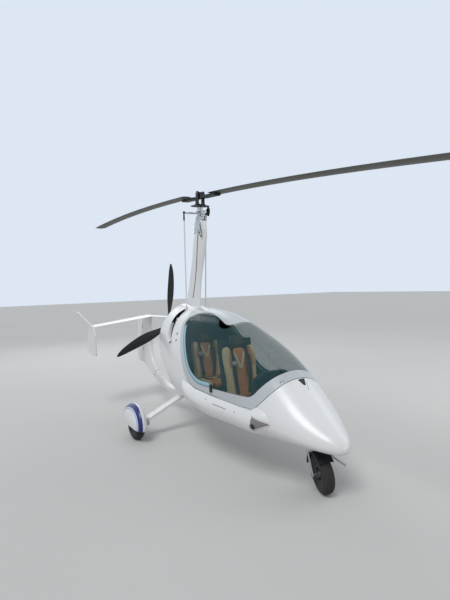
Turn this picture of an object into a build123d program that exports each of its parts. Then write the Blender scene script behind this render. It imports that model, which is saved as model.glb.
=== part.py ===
"""Tandem two-seat cabin gyrocopter, parked on its three wheels.

Millimetres. +X is the aircraft's left, +Y points aft and +Z up. The origin is on the
ground below the rotor hub. The rotor is parked fore and aft.
"""
from build123d import *
import math
import os

os.makedirs("parts", exist_ok=True)

# Overall places
wheel_base_front = -1988.0      # nose axle, along Y
main_axle_y = 187.0
half_track = 817.0
teeter_height = 2805.0
propeller_y = 1056.0
propeller_height = 1205.0

# Walls and fits
skin = 12.0                     # hull, cowl and canopy wall
glass_wall = 5.0
soft_gap = 0.3                  # between curved faces that lie against each other
pin_play = 0.05                 # radial play of a pin in its bore
moving_gap = 6.0                # between pieces that pass each other
seam_gap = 5.0                  # round the canopy

# Rotor
rotor_radius = 4300.0
blade_chord = 200.0
blade_depth = 25.0
blade_root = 290.0              # where the blade starts, from the hub
droop_radius = 48500.0          # a parked blade hangs on this arc
rotor_tilt = 4.8                # disc tilted forward at rest, degrees

# Propeller
propeller_radius = 840.0
blade_count = 3
blade_lean = 4.0                # first blade from upright, degrees

# Wheels
main_tyre_radius = 180.0
main_tyre_width = 112.0
main_rim_radius = 78.0
nose_tyre_radius = 165.0
nose_tyre_width = 100.0
nose_rim_radius = 68.0
axle_radius = 12.5
nose_axle_radius = 10.0
tow_bore_radius = 6.0           # hollow nose axle, for a tow bar's pin
nose_steer = 20.0               # turned to starboard at rest, degrees
nose_rake = 18.0                # steering axis leans aft at its top, degrees

# Stations of the cabin pod, from the nose to the cowl's open end
# columns: along, top, bottom, half_width, waist (height of the widest point)
pod_stations = (
    (-2262, 466, 402, 32, 432),
    (-2232, 500, 384, 80, 436),
    (-2140, 572, 374, 155, 450),
    (-1970, 702, 370, 248, 490),
    (-1700, 925, 345, 335, 545),
    (-1400, 1125, 318, 392, 600),
    (-1000, 1292, 304, 424, 650),
    (-500, 1430, 300, 436, 690),
    (0, 1470, 308, 426, 750),
    (350, 1502, 345, 368, 840),
    (650, 1470, 450, 296, 930),
    (930, 1330, 700, 200, 1010),
)
cowl_end = pod_stations[-1][0]


def write_piece(part, name):
    """Label one finished piece and write it as its own file."""
    part.label = name
    export_step(part, f"parts/{name}.step")


def egg_section(half_width, top, bottom, waist, centre=0.0):
    """Closed outline of four quarter ellipses that meet at the waist."""
    with BuildSketch(Plane.XY, mode=Mode.PRIVATE) as section:
        with BuildLine():
            EllipticalCenterArc((centre, waist), half_width, top - waist, 0, arc_size=90)
            EllipticalCenterArc((centre, waist), half_width, top - waist, 90, arc_size=90)
            EllipticalCenterArc((centre, waist), half_width, waist - bottom, 180, arc_size=90)
            EllipticalCenterArc((centre, waist), half_width, waist - bottom, 270, arc_size=90)
        make_face()
    return section.sketch


def egg_body(stations, inset=0.0, centre=0.0, first=0):
    """Body through egg-shaped stations. A positive inset shrinks it, a negative one grows it."""
    with BuildPart() as body:
        for along, top, bottom, half_width, waist in stations[first:]:
            with BuildSketch(Plane.XZ.offset(-along)):
                add(egg_section(half_width - inset, top - inset, bottom + inset, waist, centre))
        loft()
    return body.part


def side_prism(points, reach=700.0, low=None):
    """Straight-edged side profile (y, z), extruded across the aircraft."""
    with BuildPart() as prism:
        with BuildSketch(Plane.YZ.offset(-reach if low is None else low)):
            with BuildLine():
                Polyline(*points, close=True)
            make_face()
        extrude(amount=2 * reach if low is None else reach - low)
    return prism.part


# Pod bodies that the panels are cut from
pod_outer = egg_body(pod_stations)
pod_inner = egg_body(pod_stations[1:], inset=skin)
pod_glass_inner = egg_body(pod_stations[1:], inset=glass_wall)
with BuildPart() as pod_shell_builder:
    add(pod_outer)
    add(pod_inner, mode=Mode.SUBTRACT)
pod_shell = pod_shell_builder.part

# Side profiles of the panels (y, z)
sill_front = (-1545.0, 645.0)
sill_corner = (-395.0, 672.0)
sill_round = 380.0
canopy_seam_high = (0.0, 1300.0)
nose_seam_mid = (-1652.0, 758.0)
nose_seam_top = (-1733.0, 905.0)
window_front = (-1690.0, 995.0)
window_front_corner = (-1512.0, 737.0)
window_rear_corner = (-480.0, 712.0)
window_rear = (-56.0, 1294.0)
window_rounds = (110.0, 460.0)
sky = 1700.0

with BuildSketch(Plane.YZ.offset(-700)) as canopy_outline:
    with BuildLine():
        FilletPolyline(sill_front, sill_corner, canopy_seam_high, radius=sill_round)
        Polyline(canopy_seam_high, (canopy_seam_high[0], sky), (nose_seam_top[0], sky), nose_seam_top)
        ThreePointArc(nose_seam_top, nose_seam_mid, sill_front)
    make_face()
with BuildPart() as canopy_zone:
    with BuildSketch(Plane.YZ.offset(-700)):
        add(canopy_outline.sketch_local)
    extrude(amount=1400)

# what the hull gives up for the canopy is larger by the seam gap
with BuildPart() as canopy_cut:
    with BuildSketch(Plane.YZ.offset(-700)):
        add(canopy_outline.sketch_local)
        offset(amount=seam_gap, kind=Kind.INTERSECTION)
    extrude(amount=1400)

# half of the roof tongue between the side windows: (across, along)
tongue_tip = -868.0
tongue_shoulder = 153.0
tongue_round = 100.0
with BuildPart() as window_zone:
    with BuildSketch(Plane.YZ.offset(-700)):
        with BuildLine():
            FilletPolyline(window_front, window_front_corner, window_rear_corner, window_rear,
                           radius=window_rounds)
            Polyline(window_rear, (window_rear[0], sky), (window_front[0], sky), window_front)
        make_face()
    extrude(amount=1400)
    for side in (-1, 1):
        with BuildSketch(Plane.XY.offset(1000)):
            with BuildLine():
                FilletPolyline((0, tongue_tip), (side * tongue_shoulder, tongue_tip),
                               (side * (tongue_shoulder - 1), -740), radius=tongue_round)
                ThreePointArc((side * (tongue_shoulder - 1), -740), (side * 130, -570), (side * 119, -430))
                ThreePointArc((side * 119, -430), (side * 138, -259), (side * 218, -72))
                Polyline((side * 218, -72), (side * 290, 100), (0, 100), (0, tongue_tip))
            make_face()
        extrude(amount=800, mode=Mode.SUBTRACT)

# Canopy hinge axis, outside the port sill
hinge_radius = 9.0
sill_slope = (sill_corner[1] - sill_front[1]) / (sill_corner[0] - sill_front[0])
hinge_ends = [(across, along, sill_front[1] + (along - sill_front[0]) * sill_slope + hinge_radius)
              for across, along in ((420.0, -1300.0), (451.0, -750.0))]
hinge_pin = 4.0
hinge_half = 32.0
hinge_axis = Vector(*hinge_ends[1]) - Vector(*hinge_ends[0])

# Canopy frame: one ring round the glass, with the roof tongue
with BuildPart() as canopy_frame:
    add(pod_shell)
    add(canopy_zone.part, mode=Mode.INTERSECT)
    add(window_zone.part, mode=Mode.SUBTRACT)
write_piece(canopy_frame.part, "canopy_frame")

# Canopy glass, flush with the frame's outer face
with BuildPart() as canopy_glass:
    add(pod_outer)
    add(pod_glass_inner, mode=Mode.SUBTRACT)
    add(window_zone.part, mode=Mode.INTERSECT)
write_piece(canopy_glass.part, "canopy_glass")

# Intake crescent and the seam between the hull and the engine cowl
crescent_top = (158.0, 1450.0)
crescent_bottom = (145.0, 1080.0)
crescent_rear = (270.0, 1320.0)
crescent_front = (203.0, 1260.0)
hull_deck = 700.0
with BuildPart() as crescent:
    with BuildSketch(Plane.YZ.offset(-700)):
        with BuildLine():
            ThreePointArc(crescent_top, crescent_rear, crescent_bottom)
            ThreePointArc(crescent_bottom, crescent_front, crescent_top)
        make_face()
    extrude(amount=1400)

with BuildPart() as cowl_zone:
    with BuildSketch(Plane.YZ.offset(-700)):
        with BuildLine():
            ThreePointArc(crescent_top, crescent_rear, crescent_bottom)
            Polyline(crescent_bottom, (150, hull_deck), (1000, hull_deck), (1000, sky),
                     (crescent_top[0], sky), crescent_top)
        make_face()
    extrude(amount=1400)

# Steering axis of the nose gear, and the bearing tube that is bonded into the hull's floor
rake = math.radians(nose_rake)
steer_dir = Vector(0, math.sin(rake), math.cos(rake))
axle_dir = Vector(1, 0, 0).rotate(Axis((0, 0, 0), tuple(steer_dir)), -nose_steer)
camber = math.asin(abs(axle_dir.Z))
crown_arc = 60.0                # radius of the tyre's crown
nose_height = (nose_tyre_radius - crown_arc) * math.cos(camber) + crown_arc
steer_plane = Plane(origin=(0, wheel_base_front, nose_height), x_dir=tuple(axle_dir),
                    z_dir=tuple(steer_dir))
nose_stem_radius = 18.0
bearing_radius = 30.0
bearing_low = 225.0             # from the nose axle, along the steering axis
bearing_length = 110.0

# Lower hull: nose and tub in one moulding
with BuildPart() as lower_hull:
    add(pod_shell)
    add(canopy_cut.part, mode=Mode.SUBTRACT)
    add(side_prism([(-1500, hull_deck), (1100, hull_deck), (1100, sky), (-1500, sky)]), mode=Mode.SUBTRACT)
    with BuildSketch(steer_plane.offset(bearing_low - 2 * skin)):
        Circle(bearing_radius)
    extrude(amount=bearing_length + 2 * skin, mode=Mode.SUBTRACT)
write_piece(lower_hull.part, "lower_hull")

# Upper hull: the roof and sides between the canopy and the cowl
mast_clearance = 4.0
mast_waist = (42.0, 172.0)      # half thickness and half chord at the roof
mast_waist_y = 268.0
with BuildPart() as mast_hole:
    with BuildSketch(Plane.XY.offset(1380)):
        with Locations((0, mast_waist_y)):
            Ellipse(mast_waist[0] + mast_clearance, mast_waist[1] + mast_clearance)
    extrude(amount=200)
with BuildPart() as upper_hull:
    add(pod_shell)
    add(canopy_cut.part, mode=Mode.SUBTRACT)
    add(cowl_zone.part, mode=Mode.SUBTRACT)
    add(crescent.part, mode=Mode.SUBTRACT)
    add(mast_hole.part, mode=Mode.SUBTRACT)
    add(side_prism([(-2400, 0), (1100, 0), (1100, hull_deck), (-2400, hull_deck)]), mode=Mode.SUBTRACT)
    add(side_prism([(-2400, 0), (-1400, 0), (-1400, sky), (-2400, sky)]), mode=Mode.SUBTRACT)
write_piece(upper_hull.part, "upper_hull")

# Mast: a flat streamlined post that leans forward, with a flared foot
mast_foot_z = 1300.0
mast_top_z = 2470.0
# columns: height, middle along, chord, thickness
mast_sections = (
    (mast_foot_z, 300, 330, 84),
    (1480, 268, 340, 84),
    (1620, 238, 322, 74),
    (2040, 106, 300, 72),
    (mast_top_z, 42, 308, 72),
)
with BuildPart() as mast:
    for height, middle, chord, thickness in mast_sections:
        with BuildSketch(Plane.XY.offset(height)):
            add(egg_section(thickness / 2, middle + chord / 2, middle - chord / 2, middle))
    loft()
write_piece(mast.part, "mast")

# Engine cowl: two halves that meet on the centreline, round the mast
rod_place = (128.0, 205.0)      # foot of each push rod, below the roof
rod_hole = (130.5, 199.5)
rod_hole_radius = 16.0
with BuildPart() as cowl_both:
    add(pod_shell)
    add(cowl_zone.part, mode=Mode.INTERSECT)
    add(mast_hole.part, mode=Mode.SUBTRACT)
    with Locations((rod_hole[0], rod_hole[1], 1450), (-rod_hole[0], rod_hole[1], 1450)):
        Cylinder(rod_hole_radius, 300, mode=Mode.SUBTRACT)
# proud lip along the rear edge of each intake
lip_width = 27.0
lip_top = (crescent_top[0] + 20, crescent_top[1] + 20)
lip_bottom = (crescent_bottom[0] + 20, crescent_bottom[1] - 18)
pod_lip = egg_body(pod_stations, inset=-24)
with BuildPart() as lip_band:
    with BuildSketch(Plane.YZ.offset(-700)):
        with BuildLine():
            ThreePointArc(crescent_top, crescent_rear, crescent_bottom)
            Line(crescent_bottom, lip_bottom)
            ThreePointArc(lip_bottom, (crescent_rear[0] + lip_width, crescent_rear[1]), lip_top)
            Line(lip_top, crescent_top)
        make_face()
    extrude(amount=1400)
    add(pod_lip, mode=Mode.INTERSECT)
    add(pod_inner, mode=Mode.SUBTRACT)
    with Locations((0, 200, 1500)):
        Box(320, 1000, 400, mode=Mode.SUBTRACT)
for side, name in ((-1, "engine_cowl_starboard"), (1, "engine_cowl_port")):
    with BuildPart() as cowl_half:
        add(cowl_both.part)
        add(lip_band.part)
        with Locations((side * 500, 400, 1200)):
            Box(1000, 2000, 1200, mode=Mode.INTERSECT)
    write_piece(cowl_half.part, name)

# Side pods: a smooth blister low on each side, with a landing light in its front end
# columns: along, top, bottom, half_width, waist
blister_stations = (
    (-1790, 700, 430, 290, 545),
    (-1700, 735, 400, 352, 548),
    (-1600, 755, 375, 420, 550),
    (-1400, 770, 355, 458, 553),
    (-1000, 775, 345, 490, 558),
    (-700, 775, 350, 500, 565),
    (-450, 775, 400, 492, 600),
    (-330, 800, 470, 470, 640),
    (-240, 840, 560, 425, 690),
)
light_outline = [(-1590, 608), (-1760, 555), (-1580, 470)]
with BuildPart() as blister:
    add(egg_body(blister_stations))
    add(pod_outer, mode=Mode.SUBTRACT)
    add(canopy_cut.part, mode=Mode.SUBTRACT)
for side, name in ((-1, "starboard"), (1, "port")):
    for piece, light_mode in (("side_pod", Mode.SUBTRACT), ("landing_light", Mode.INTERSECT)):
        with BuildPart() as pod_piece:
            with Locations((side * 400, -1000, 600)):
                Box(400, 1600, 600)
            add(blister.part, mode=Mode.INTERSECT)
            add(side_prism(light_outline, reach=600), mode=light_mode)
        write_piece(pod_piece.part, f"{piece}_{name}")

# Cabin floor, firewall and panel, cut to the inside of the hull
pod_fit = egg_body(pod_stations[1:], inset=skin + soft_gap)
floor_top = 400.0
floor_wall = 12.0
firewall_y = 150.0
with BuildPart() as cabin_floor:
    with Locations((0, (-1680 + firewall_y) / 2, floor_top - floor_wall / 2)):
        Box(1200, firewall_y + 1680, floor_wall)
    add(pod_fit, mode=Mode.INTERSECT)
write_piece(cabin_floor.part, "cabin_floor")

with BuildPart() as firewall:
    with Locations((0, firewall_y + 8, 900)):
        Box(1200, 16, 1300)
    add(pod_fit, mode=Mode.INTERSECT)
    with BuildSketch(Plane.XY.offset(mast_foot_z - 20)):
        with Locations((0, mast_waist_y + 17)):
            Ellipse(mast_waist[0] + 2 * mast_clearance, mast_waist[1] + 18)
    extrude(amount=300, mode=Mode.SUBTRACT)
    with Locations((0, 300, mast_foot_z - 12)):
        Box(240, 400, 60, mode=Mode.SUBTRACT)
write_piece(firewall.part, "firewall")

with BuildPart() as instrument_panel:
    with BuildSketch(Plane.XZ.offset(1330)):
        with BuildLine():
            Polyline((-60, floor_top), (-75, 640), (-230, 700), (-215, 850), (-120, 905), (120, 905),
                     (215, 850), (230, 700), (75, 640), (60, floor_top), close=True)
        make_face()
    extrude(amount=60)
    fillet(instrument_panel.edges().filter_by(Axis.Y), 14)
write_piece(instrument_panel.part, "instrument_panel")

# Seats: a rigid pedestal each, a seat cushion and a back cushion
# columns: name, front of pan, back of pan, pan height, back top (y, z), half width
seat_table = (
    ("front", -1260, -800, 500, (-668, 1185), 200),
    ("rear", -440, -30, 590, (78, 1150), 190),
)
cushion = 70.0
for name, pan_front, pan_back, pan_height, back_top, half in seat_table:
    lean = (back_top[0] - pan_back) / (back_top[1] - pan_height)
    with BuildPart() as seat_shell:
        with BuildSketch(Plane.YZ.offset(-half)):
            with BuildLine():
                Polyline((pan_front + 30, floor_top), (pan_front, pan_height),
                         (pan_back, pan_height),
                         (back_top[0] - 10, back_top[1] - 40), (back_top[0] + 18, back_top[1] - 40),
                         (pan_back + 34, pan_height - 60), (pan_back - 30, floor_top), close=True)
            make_face()
        extrude(amount=2 * half)
    write_piece(seat_shell.part, f"{name}_seat_shell")
    with BuildPart() as seat_cushion:
        with BuildSketch(Plane.YZ.offset(-half + 6)):
            with BuildLine():
                Polyline((pan_front - 10, pan_height + soft_gap), (pan_front, pan_height + cushion),
                         (pan_back - cushion - 4, pan_height + cushion - 14),
                         (pan_back - cushion - 4, pan_height + soft_gap), close=True)
            make_face()
        extrude(amount=2 * half - 12)
        fillet(seat_cushion.edges().filter_by(Axis.X), 10)
    write_piece(seat_cushion.part, f"{name}_seat_cushion")
    with BuildPart() as back_cushion:
        with BuildSketch(Plane.YZ.offset(-half + 6)):
            with BuildLine():
                Polyline((pan_back - soft_gap, pan_height + 4),
                         (back_top[0] - 10 - soft_gap, back_top[1] - 40),
                         (back_top[0] - 8, back_top[1]), (back_top[0] - cushion, back_top[1] - 10),
                         (pan_back - cushion, pan_height + 4), close=True)
            make_face()
        extrude(amount=2 * half - 12)
    write_piece(back_cushion.part, f"{name}_back_cushion")

# Engine: one plain block behind the firewall, its gearbox and the propeller flange
engine_front = firewall_y + 16
engine_rear = 780.0
engine_width = 320.0
with BuildPart() as engine_block:
    with Locations((0, (engine_front + engine_rear) / 2, 1070)):
        Box(engine_width, engine_rear - engine_front, 410)
write_piece(engine_block.part, "engine_block")

with BuildPart() as mast_foot:
    with Locations((0, 310, mast_foot_z - 12.5)):
        Box(200, 380 - 2 * 30, 25)
write_piece(mast_foot.part, "mast_foot")

flange_y = propeller_y - 40
with BuildPart() as gearbox:
    with BuildSketch(Plane.XZ.offset(-engine_rear)):
        with Locations((0, propeller_height)):
            Circle(75)
    extrude(amount=-150)
    with BuildSketch(Plane.XZ.offset(-(engine_rear + 150))):
        with Locations((0, propeller_height)):
            Circle(40)
    extrude(amount=-(flange_y - engine_rear - 150 - moving_gap))
    with BuildSketch(Plane.XZ.offset(-(engine_rear + 150))):
        with Locations((0, propeller_height)):
            Circle(16)
    extrude(amount=-(propeller_y + 20 - engine_rear - 150))
write_piece(gearbox.part, "gearbox")

silencer_place = (860.0, 810.0)
silencer_radius = 45.0
with BuildPart() as exhaust:
    with BuildSketch(Plane.YZ.offset(-135)):
        with Locations(silencer_place):
            Circle(silencer_radius)
    extrude(amount=270)
    with BuildSketch(Plane.XZ.offset(-silencer_place[0])):
        with Locations((-90, silencer_place[1])):
            Circle(22)
    extrude(amount=-110)
    # two pipes from the engine's rear face, each an elbow down into the silencer
    for across in (-60, 60):
        with BuildLine():
            pipe = FilletPolyline((across, engine_rear, 915), (across, silencer_place[0], 915),
                                  (across, *silencer_place), radius=45)
        with BuildSketch(Plane(origin=pipe @ 0, z_dir=pipe % 0)):
            Circle(17)
        sweep(path=pipe)
write_piece(exhaust.part, "exhaust")

# Propeller: hub and three curved blades
with BuildPart() as propeller_hub:
    with BuildSketch(Plane.XZ.offset(-flange_y)):
        with Locations((0, propeller_height)):
            Circle(75)
            Circle(16 + pin_play, mode=Mode.SUBTRACT)
    extrude(amount=-80)
    fillet(propeller_hub.edges().filter_by(GeomType.CIRCLE).group_by(SortBy.RADIUS)[-1], 6)
write_piece(propeller_hub.part, "propeller_hub")

# columns: radius, chord, thickness, sweep of the middle line, blade angle
propeller_sections = (
    (70, 62, 40, -10, 50),
    (180, 84, 26, -8, 40),
    (380, 130, 18, 4, 27),
    (600, 108, 12, 8, 19),
    (760, 68, 8, 2, 15),
    (propeller_radius, 20, 5, -6, 13),
)


def blade_section(chord, thickness, shift, turn):
    """Lens of two arcs, turned by the blade angle."""
    with BuildSketch(Plane.XY, mode=Mode.PRIVATE) as lens:
        with BuildLine():
            ThreePointArc((-chord / 2, 0), (0, thickness * 0.7), (chord / 2, 0))
            ThreePointArc((chord / 2, 0), (0, -thickness * 0.3), (-chord / 2, 0))
        make_face()
    return Rot(0, 0, turn) * Pos(shift, 0, 0) * lens.sketch


with BuildPart() as one_blade:
    for radius, chord, thickness, shift, angle in propeller_sections:
        with BuildSketch(Plane.XY.offset(radius)):
            add(blade_section(chord, thickness, shift, angle))
    loft()
with BuildPart() as propeller_blades:
    for index in range(blade_count):
        turn = blade_lean + index * 360 / blade_count
        add(Pos(0, propeller_y, propeller_height) * Rot(0, turn, 0) * one_blade.part)
    add(propeller_hub.part, mode=Mode.SUBTRACT)
write_piece(propeller_blades.part, "propeller_blades")

# Tail: swan-neck boom that grows into the fin
fin_trailing = 2077.0
fin_top = 1280.0
fin_bottom = 545.0
boom_round = 20.0
rudder_axis_y = fin_trailing + 27.0
rudder_nose = 19.0

stab_leading = 1712.0
stab_height = 1286.0
stab_half_span = 880.0
stab_tip_drop = 100.0
# columns: across, height, chord, thickness
stab_sections = (
    (-stab_half_span, stab_height - stab_tip_drop, 300, 22),
    (0, stab_height, 360, 38),
    (stab_half_span, stab_height - stab_tip_drop, 300, 22),
)
with BuildPart() as stabiliser:
    for across, height, chord, thickness in stab_sections:
        with BuildSketch(Plane.YZ.offset(across)):
            with BuildLine():
                thickest = stab_leading + chord * 0.38
                rear = stab_leading + chord
                ThreePointArc((stab_leading, height), (thickest, height + thickness / 2), (rear, height))
                ThreePointArc((rear, height), (thickest, height - thickness / 2), (stab_leading, height))
            make_face()
    loft(ruled=True)
write_piece(stabiliser.part, "stabiliser")

# side view: a swan-neck boom that grows into the fin; plan view: it thins towards the tail
with BuildPart() as tail_boom:
    with BuildSketch(Plane.YZ.offset(-80)):
        with BuildLine():
            Line((250, 388), (700, 366))
            ThreePointArc((700, 366), (1080, 346), (1330, 405))
            ThreePointArc((1330, 405), (1560, 508), (1725, 665))
            ThreePointArc((1725, 665), (1776, 800), (1785, 950))
            ThreePointArc((1785, 950), (1783, 1110), (1765, fin_top))
            Polyline((1765, fin_top), (fin_trailing, fin_top), (fin_trailing, fin_bottom))
            ThreePointArc((fin_trailing, fin_bottom), (1800, 438), (1500, 335))
            ThreePointArc((1500, 335), (1190, 272), (850, 288))
            Polyline((850, 288), (250, 300), (250, 388))
        make_face()
    extrude(amount=160)
    with BuildSketch(Plane.XY.offset(200)):
        with BuildLine():
            Polyline((52, 250), (47, 600), (38, 1200), (30, 1850), (24, fin_trailing),
                     (-24, fin_trailing), (-30, 1850), (-38, 1200), (-47, 600), (-52, 250), close=True)
        make_face()
    extrude(amount=1200, mode=Mode.INTERSECT)
    flank_edges = [edge for edge in tail_boom.edges()
                   if abs(edge.center().X) > 20 and abs(edge.tangent_at(0.5).X) < 0.5
                   and edge.length > 60 and edge.center().Y > 251]
    fillet(flank_edges, boom_round)
    add(pod_outer, mode=Mode.SUBTRACT)
    add(stabiliser.part, mode=Mode.SUBTRACT)
write_piece(tail_boom.part, "tail_boom")

# Rudder and its two hinges
rudder_bottom = 548.0
rudder_top = 1245.0
rudder_heel = 2508.0            # trailing edge, along, at the bottom and at the top
rudder_crown = 2327.0
rudder_edge = 2.0
hinge_heights = (760.0, 1110.0)
hinge_notch = 40.0
hinge_pin_radius = 5.0
with BuildPart() as rudder:
    for height, trailing in ((rudder_bottom, rudder_heel), (rudder_top, rudder_crown)):
        with BuildSketch(Plane.XY.offset(height)):
            with BuildLine():
                ThreePointArc((-rudder_nose, rudder_axis_y), (0, rudder_axis_y - rudder_nose),
                              (rudder_nose, rudder_axis_y))
                Polyline((rudder_nose, rudder_axis_y), (rudder_edge, trailing), (-rudder_edge, trailing),
                         (-rudder_nose, rudder_axis_y))
            make_face()
    loft(ruled=True)
    # the heel is cut away on a slant
    add(side_prism([(2320, rudder_bottom), (2464, 716), (2600, 878), (2600, 400), (2320, 400)]),
        mode=Mode.SUBTRACT)
    with Locations(*[(0, rudder_axis_y, height) for height in hinge_heights]):
        Box(60, 56, hinge_notch, mode=Mode.SUBTRACT)
        Cylinder(hinge_pin_radius + pin_play, hinge_notch + 60, mode=Mode.SUBTRACT)
write_piece(rudder.part, "rudder")

with BuildPart() as rudder_hinges:
    for height in hinge_heights:
        with Locations((0, rudder_axis_y, height)):
            Cylinder(hinge_pin_radius, hinge_notch + 50)
            Cylinder(11, 16)
        with Locations((0, rudder_axis_y - 20, height)):
            Box(14, 40, 12)
    add(tail_boom.part, mode=Mode.SUBTRACT)
write_piece(rudder_hinges.part, "rudder_hinges")

# Tail plates: a lower plate and a swept, canted upper fin in one moulding
plate_lower = [(1712, 1200), (1590, 1067), (1590, 782), (2010, 782), (2010, 1100), (2012, 1200)]
plate_cant = math.radians(31)
plate_rise = 245.0
for side, name in ((-1, "starboard"), (1, "port")):
    with BuildPart() as tail_plate:
        with BuildSketch(Plane.YZ.offset(side * stab_half_span)):
            with BuildLine():
                Polyline(*plate_lower, close=True)
            make_face()
        extrude(amount=side * 16)
        fillet(tail_plate.edges().filter_by(Axis.X).group_by(Axis.Z)[0], 30)
        upper_plane = Plane(origin=(side * stab_half_span, 0, stab_height - stab_tip_drop), x_dir=(0, 1, 0),
                            z_dir=(side * math.cos(plate_cant), 0, -math.sin(plate_cant)))
        with BuildSketch(upper_plane):
            with BuildLine():
                rise_sign = 1 if upper_plane.y_dir.Z > 0 else -1
                Polyline((1712, -2 * rise_sign), (2050, plate_rise * rise_sign), (2170, plate_rise * rise_sign),
                         (2012, -2 * rise_sign), close=True)
            make_face()
        extrude(amount=14)
        add(stabiliser.part, mode=Mode.SUBTRACT)
    write_piece(tail_plate.part, f"tail_plate_{name}")

# Main gear: a flat composite leg, a stub axle, a wheel and a spat on each side
leg_chord = 110.0
leg_depth = 28.0
leg_root = (160.0, 448.0)
leg_tip = (672.0, 212.0)
# columns: along, top, bottom, half_width, waist
spat_stations = (
    (-52, 234, 158, 26, 196),
    (-14, 314, 78, 54, 200),
    (80, 386, 14, 75, 206),
    (220, 402, 4, 79, 212),
    (380, 364, 30, 71, 220),
    (510, 296, 110, 45, 225),
    (590, 248, 196, 15, 226),
)
spat_wall = 6.0
for side, name in ((-1, "starboard"), (1, "port")):
    centre = side * half_track
    slope = math.atan2(leg_root[1] - leg_tip[1], leg_tip[0] - leg_root[0])
    normal = (leg_depth / 2 * math.sin(slope), leg_depth / 2 * math.cos(slope))
    with BuildPart() as gear_leg:
        with BuildSketch(Plane.XZ.offset(-(main_axle_y + leg_chord / 2))):
            with BuildLine():
                Polyline((side * (leg_root[0] + normal[0]), leg_root[1] + normal[1]),
                         (side * (leg_tip[0] + normal[0]), leg_tip[1] + normal[1]),
                         (side * (leg_tip[0] + 30), leg_tip[1] - 22),
                         (side * (leg_tip[0] - normal[0]), leg_tip[1] - normal[1]),
                         (side * (leg_root[0] - normal[0]), leg_root[1] - normal[1]), close=True)
            make_face()
        extrude(amount=leg_chord)
        add(pod_outer, mode=Mode.SUBTRACT)
    spat_outer = egg_body(spat_stations, centre=centre)
    spat_inner = egg_body(spat_stations[1:-1], inset=spat_wall, centre=centre)
    with BuildPart() as axle:
        with BuildSketch(Plane.YZ.offset(side * (leg_tip[0] + 6))):
            with Locations((main_axle_y, main_tyre_radius + 4)):
                RectangleRounded(leg_chord, 76, 10)
        extrude(amount=side * (half_track - spat_stations[3][3] + 8 - leg_tip[0] - 6))
        add(spat_outer, mode=Mode.SUBTRACT)
        with BuildSketch(Plane.YZ.offset(side * (leg_tip[0] + 30))):
            with Locations((main_axle_y, main_tyre_radius)):
                Circle(axle_radius)
        extrude(amount=side * (half_track + 52 - leg_tip[0] - 30))
        add(gear_leg.part, mode=Mode.SUBTRACT)
    write_piece(gear_leg.part, f"gear_leg_{name}")
    write_piece(axle.part, f"main_axle_{name}")
    with BuildPart() as spat:
        add(spat_outer)
        add(spat_inner, mode=Mode.SUBTRACT)
        add(side_prism([(-200, -50), (700, -50), (700, 225), (400, 152), (150, 156), (-200, 120)],
                       reach=1200), mode=Mode.SUBTRACT)
        with BuildSketch(Plane.YZ):
            with Locations((main_axle_y, main_tyre_radius)):
                Circle(axle_radius)
        extrude(amount=centre, mode=Mode.SUBTRACT)
    write_piece(spat.part, f"spat_{name}")


def wheel(place, tyre_radius, tyre_width, rim_radius, bore_radius, label):
    """Tyre and rim about the X axis of a plane, written as two pieces."""
    half = tyre_width / 2
    with BuildPart() as tyre:
        with BuildSketch(place):
            with BuildLine():
                shoulder = tyre_radius - half * 0.78
                Line((-half * 0.7, rim_radius), (half * 0.7, rim_radius))
                Line((half * 0.7, rim_radius), (half, rim_radius + (shoulder - rim_radius) * 0.6))
                ThreePointArc((half, rim_radius + (shoulder - rim_radius) * 0.6),
                              (half * 0.72, tyre_radius - half * 0.24), (0, tyre_radius))
                ThreePointArc((0, tyre_radius), (-half * 0.72, tyre_radius - half * 0.24),
                              (-half, rim_radius + (shoulder - rim_radius) * 0.6))
                Line((-half, rim_radius + (shoulder - rim_radius) * 0.6), (-half * 0.7, rim_radius))
            make_face()
        revolve(axis=Axis(place.origin, place.x_dir))
    write_piece(tyre.part, f"{label}_tyre")
    with BuildPart() as rim:
        with BuildSketch(place):
            with BuildLine():
                Polyline((-half * 0.7, rim_radius), (half * 0.7, rim_radius), (half * 0.7, rim_radius - 9),
                         (half * 0.25, rim_radius - 14), (half * 0.2, bore_radius + 22),
                         (half * 0.62, bore_radius + 14), (half * 0.62, bore_radius),
                         (-half * 0.62, bore_radius), (-half * 0.62, bore_radius + 14),
                         (-half * 0.2, bore_radius + 22), (-half * 0.25, rim_radius - 14),
                         (-half * 0.7, rim_radius - 9), close=True)
            make_face()
        revolve(axis=Axis(place.origin, place.x_dir))
    write_piece(rim.part, f"{label}_rim")


for side, name in ((-1, "starboard"), (1, "port")):
    wheel(Plane(origin=(side * half_track, main_axle_y, main_tyre_radius), x_dir=(1, 0, 0),
                z_dir=(0, -1, 0)),
          main_tyre_radius, main_tyre_width, main_rim_radius, axle_radius + pin_play, f"main_{name}")

# Nose gear, turned about its raked steering axis
nose_wheel_plane = Plane(origin=steer_plane.origin, x_dir=steer_plane.x_dir,
                         z_dir=-steer_plane.y_dir)
wheel(nose_wheel_plane, nose_tyre_radius, nose_tyre_width, nose_rim_radius,
      nose_axle_radius + pin_play, "nose")

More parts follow.
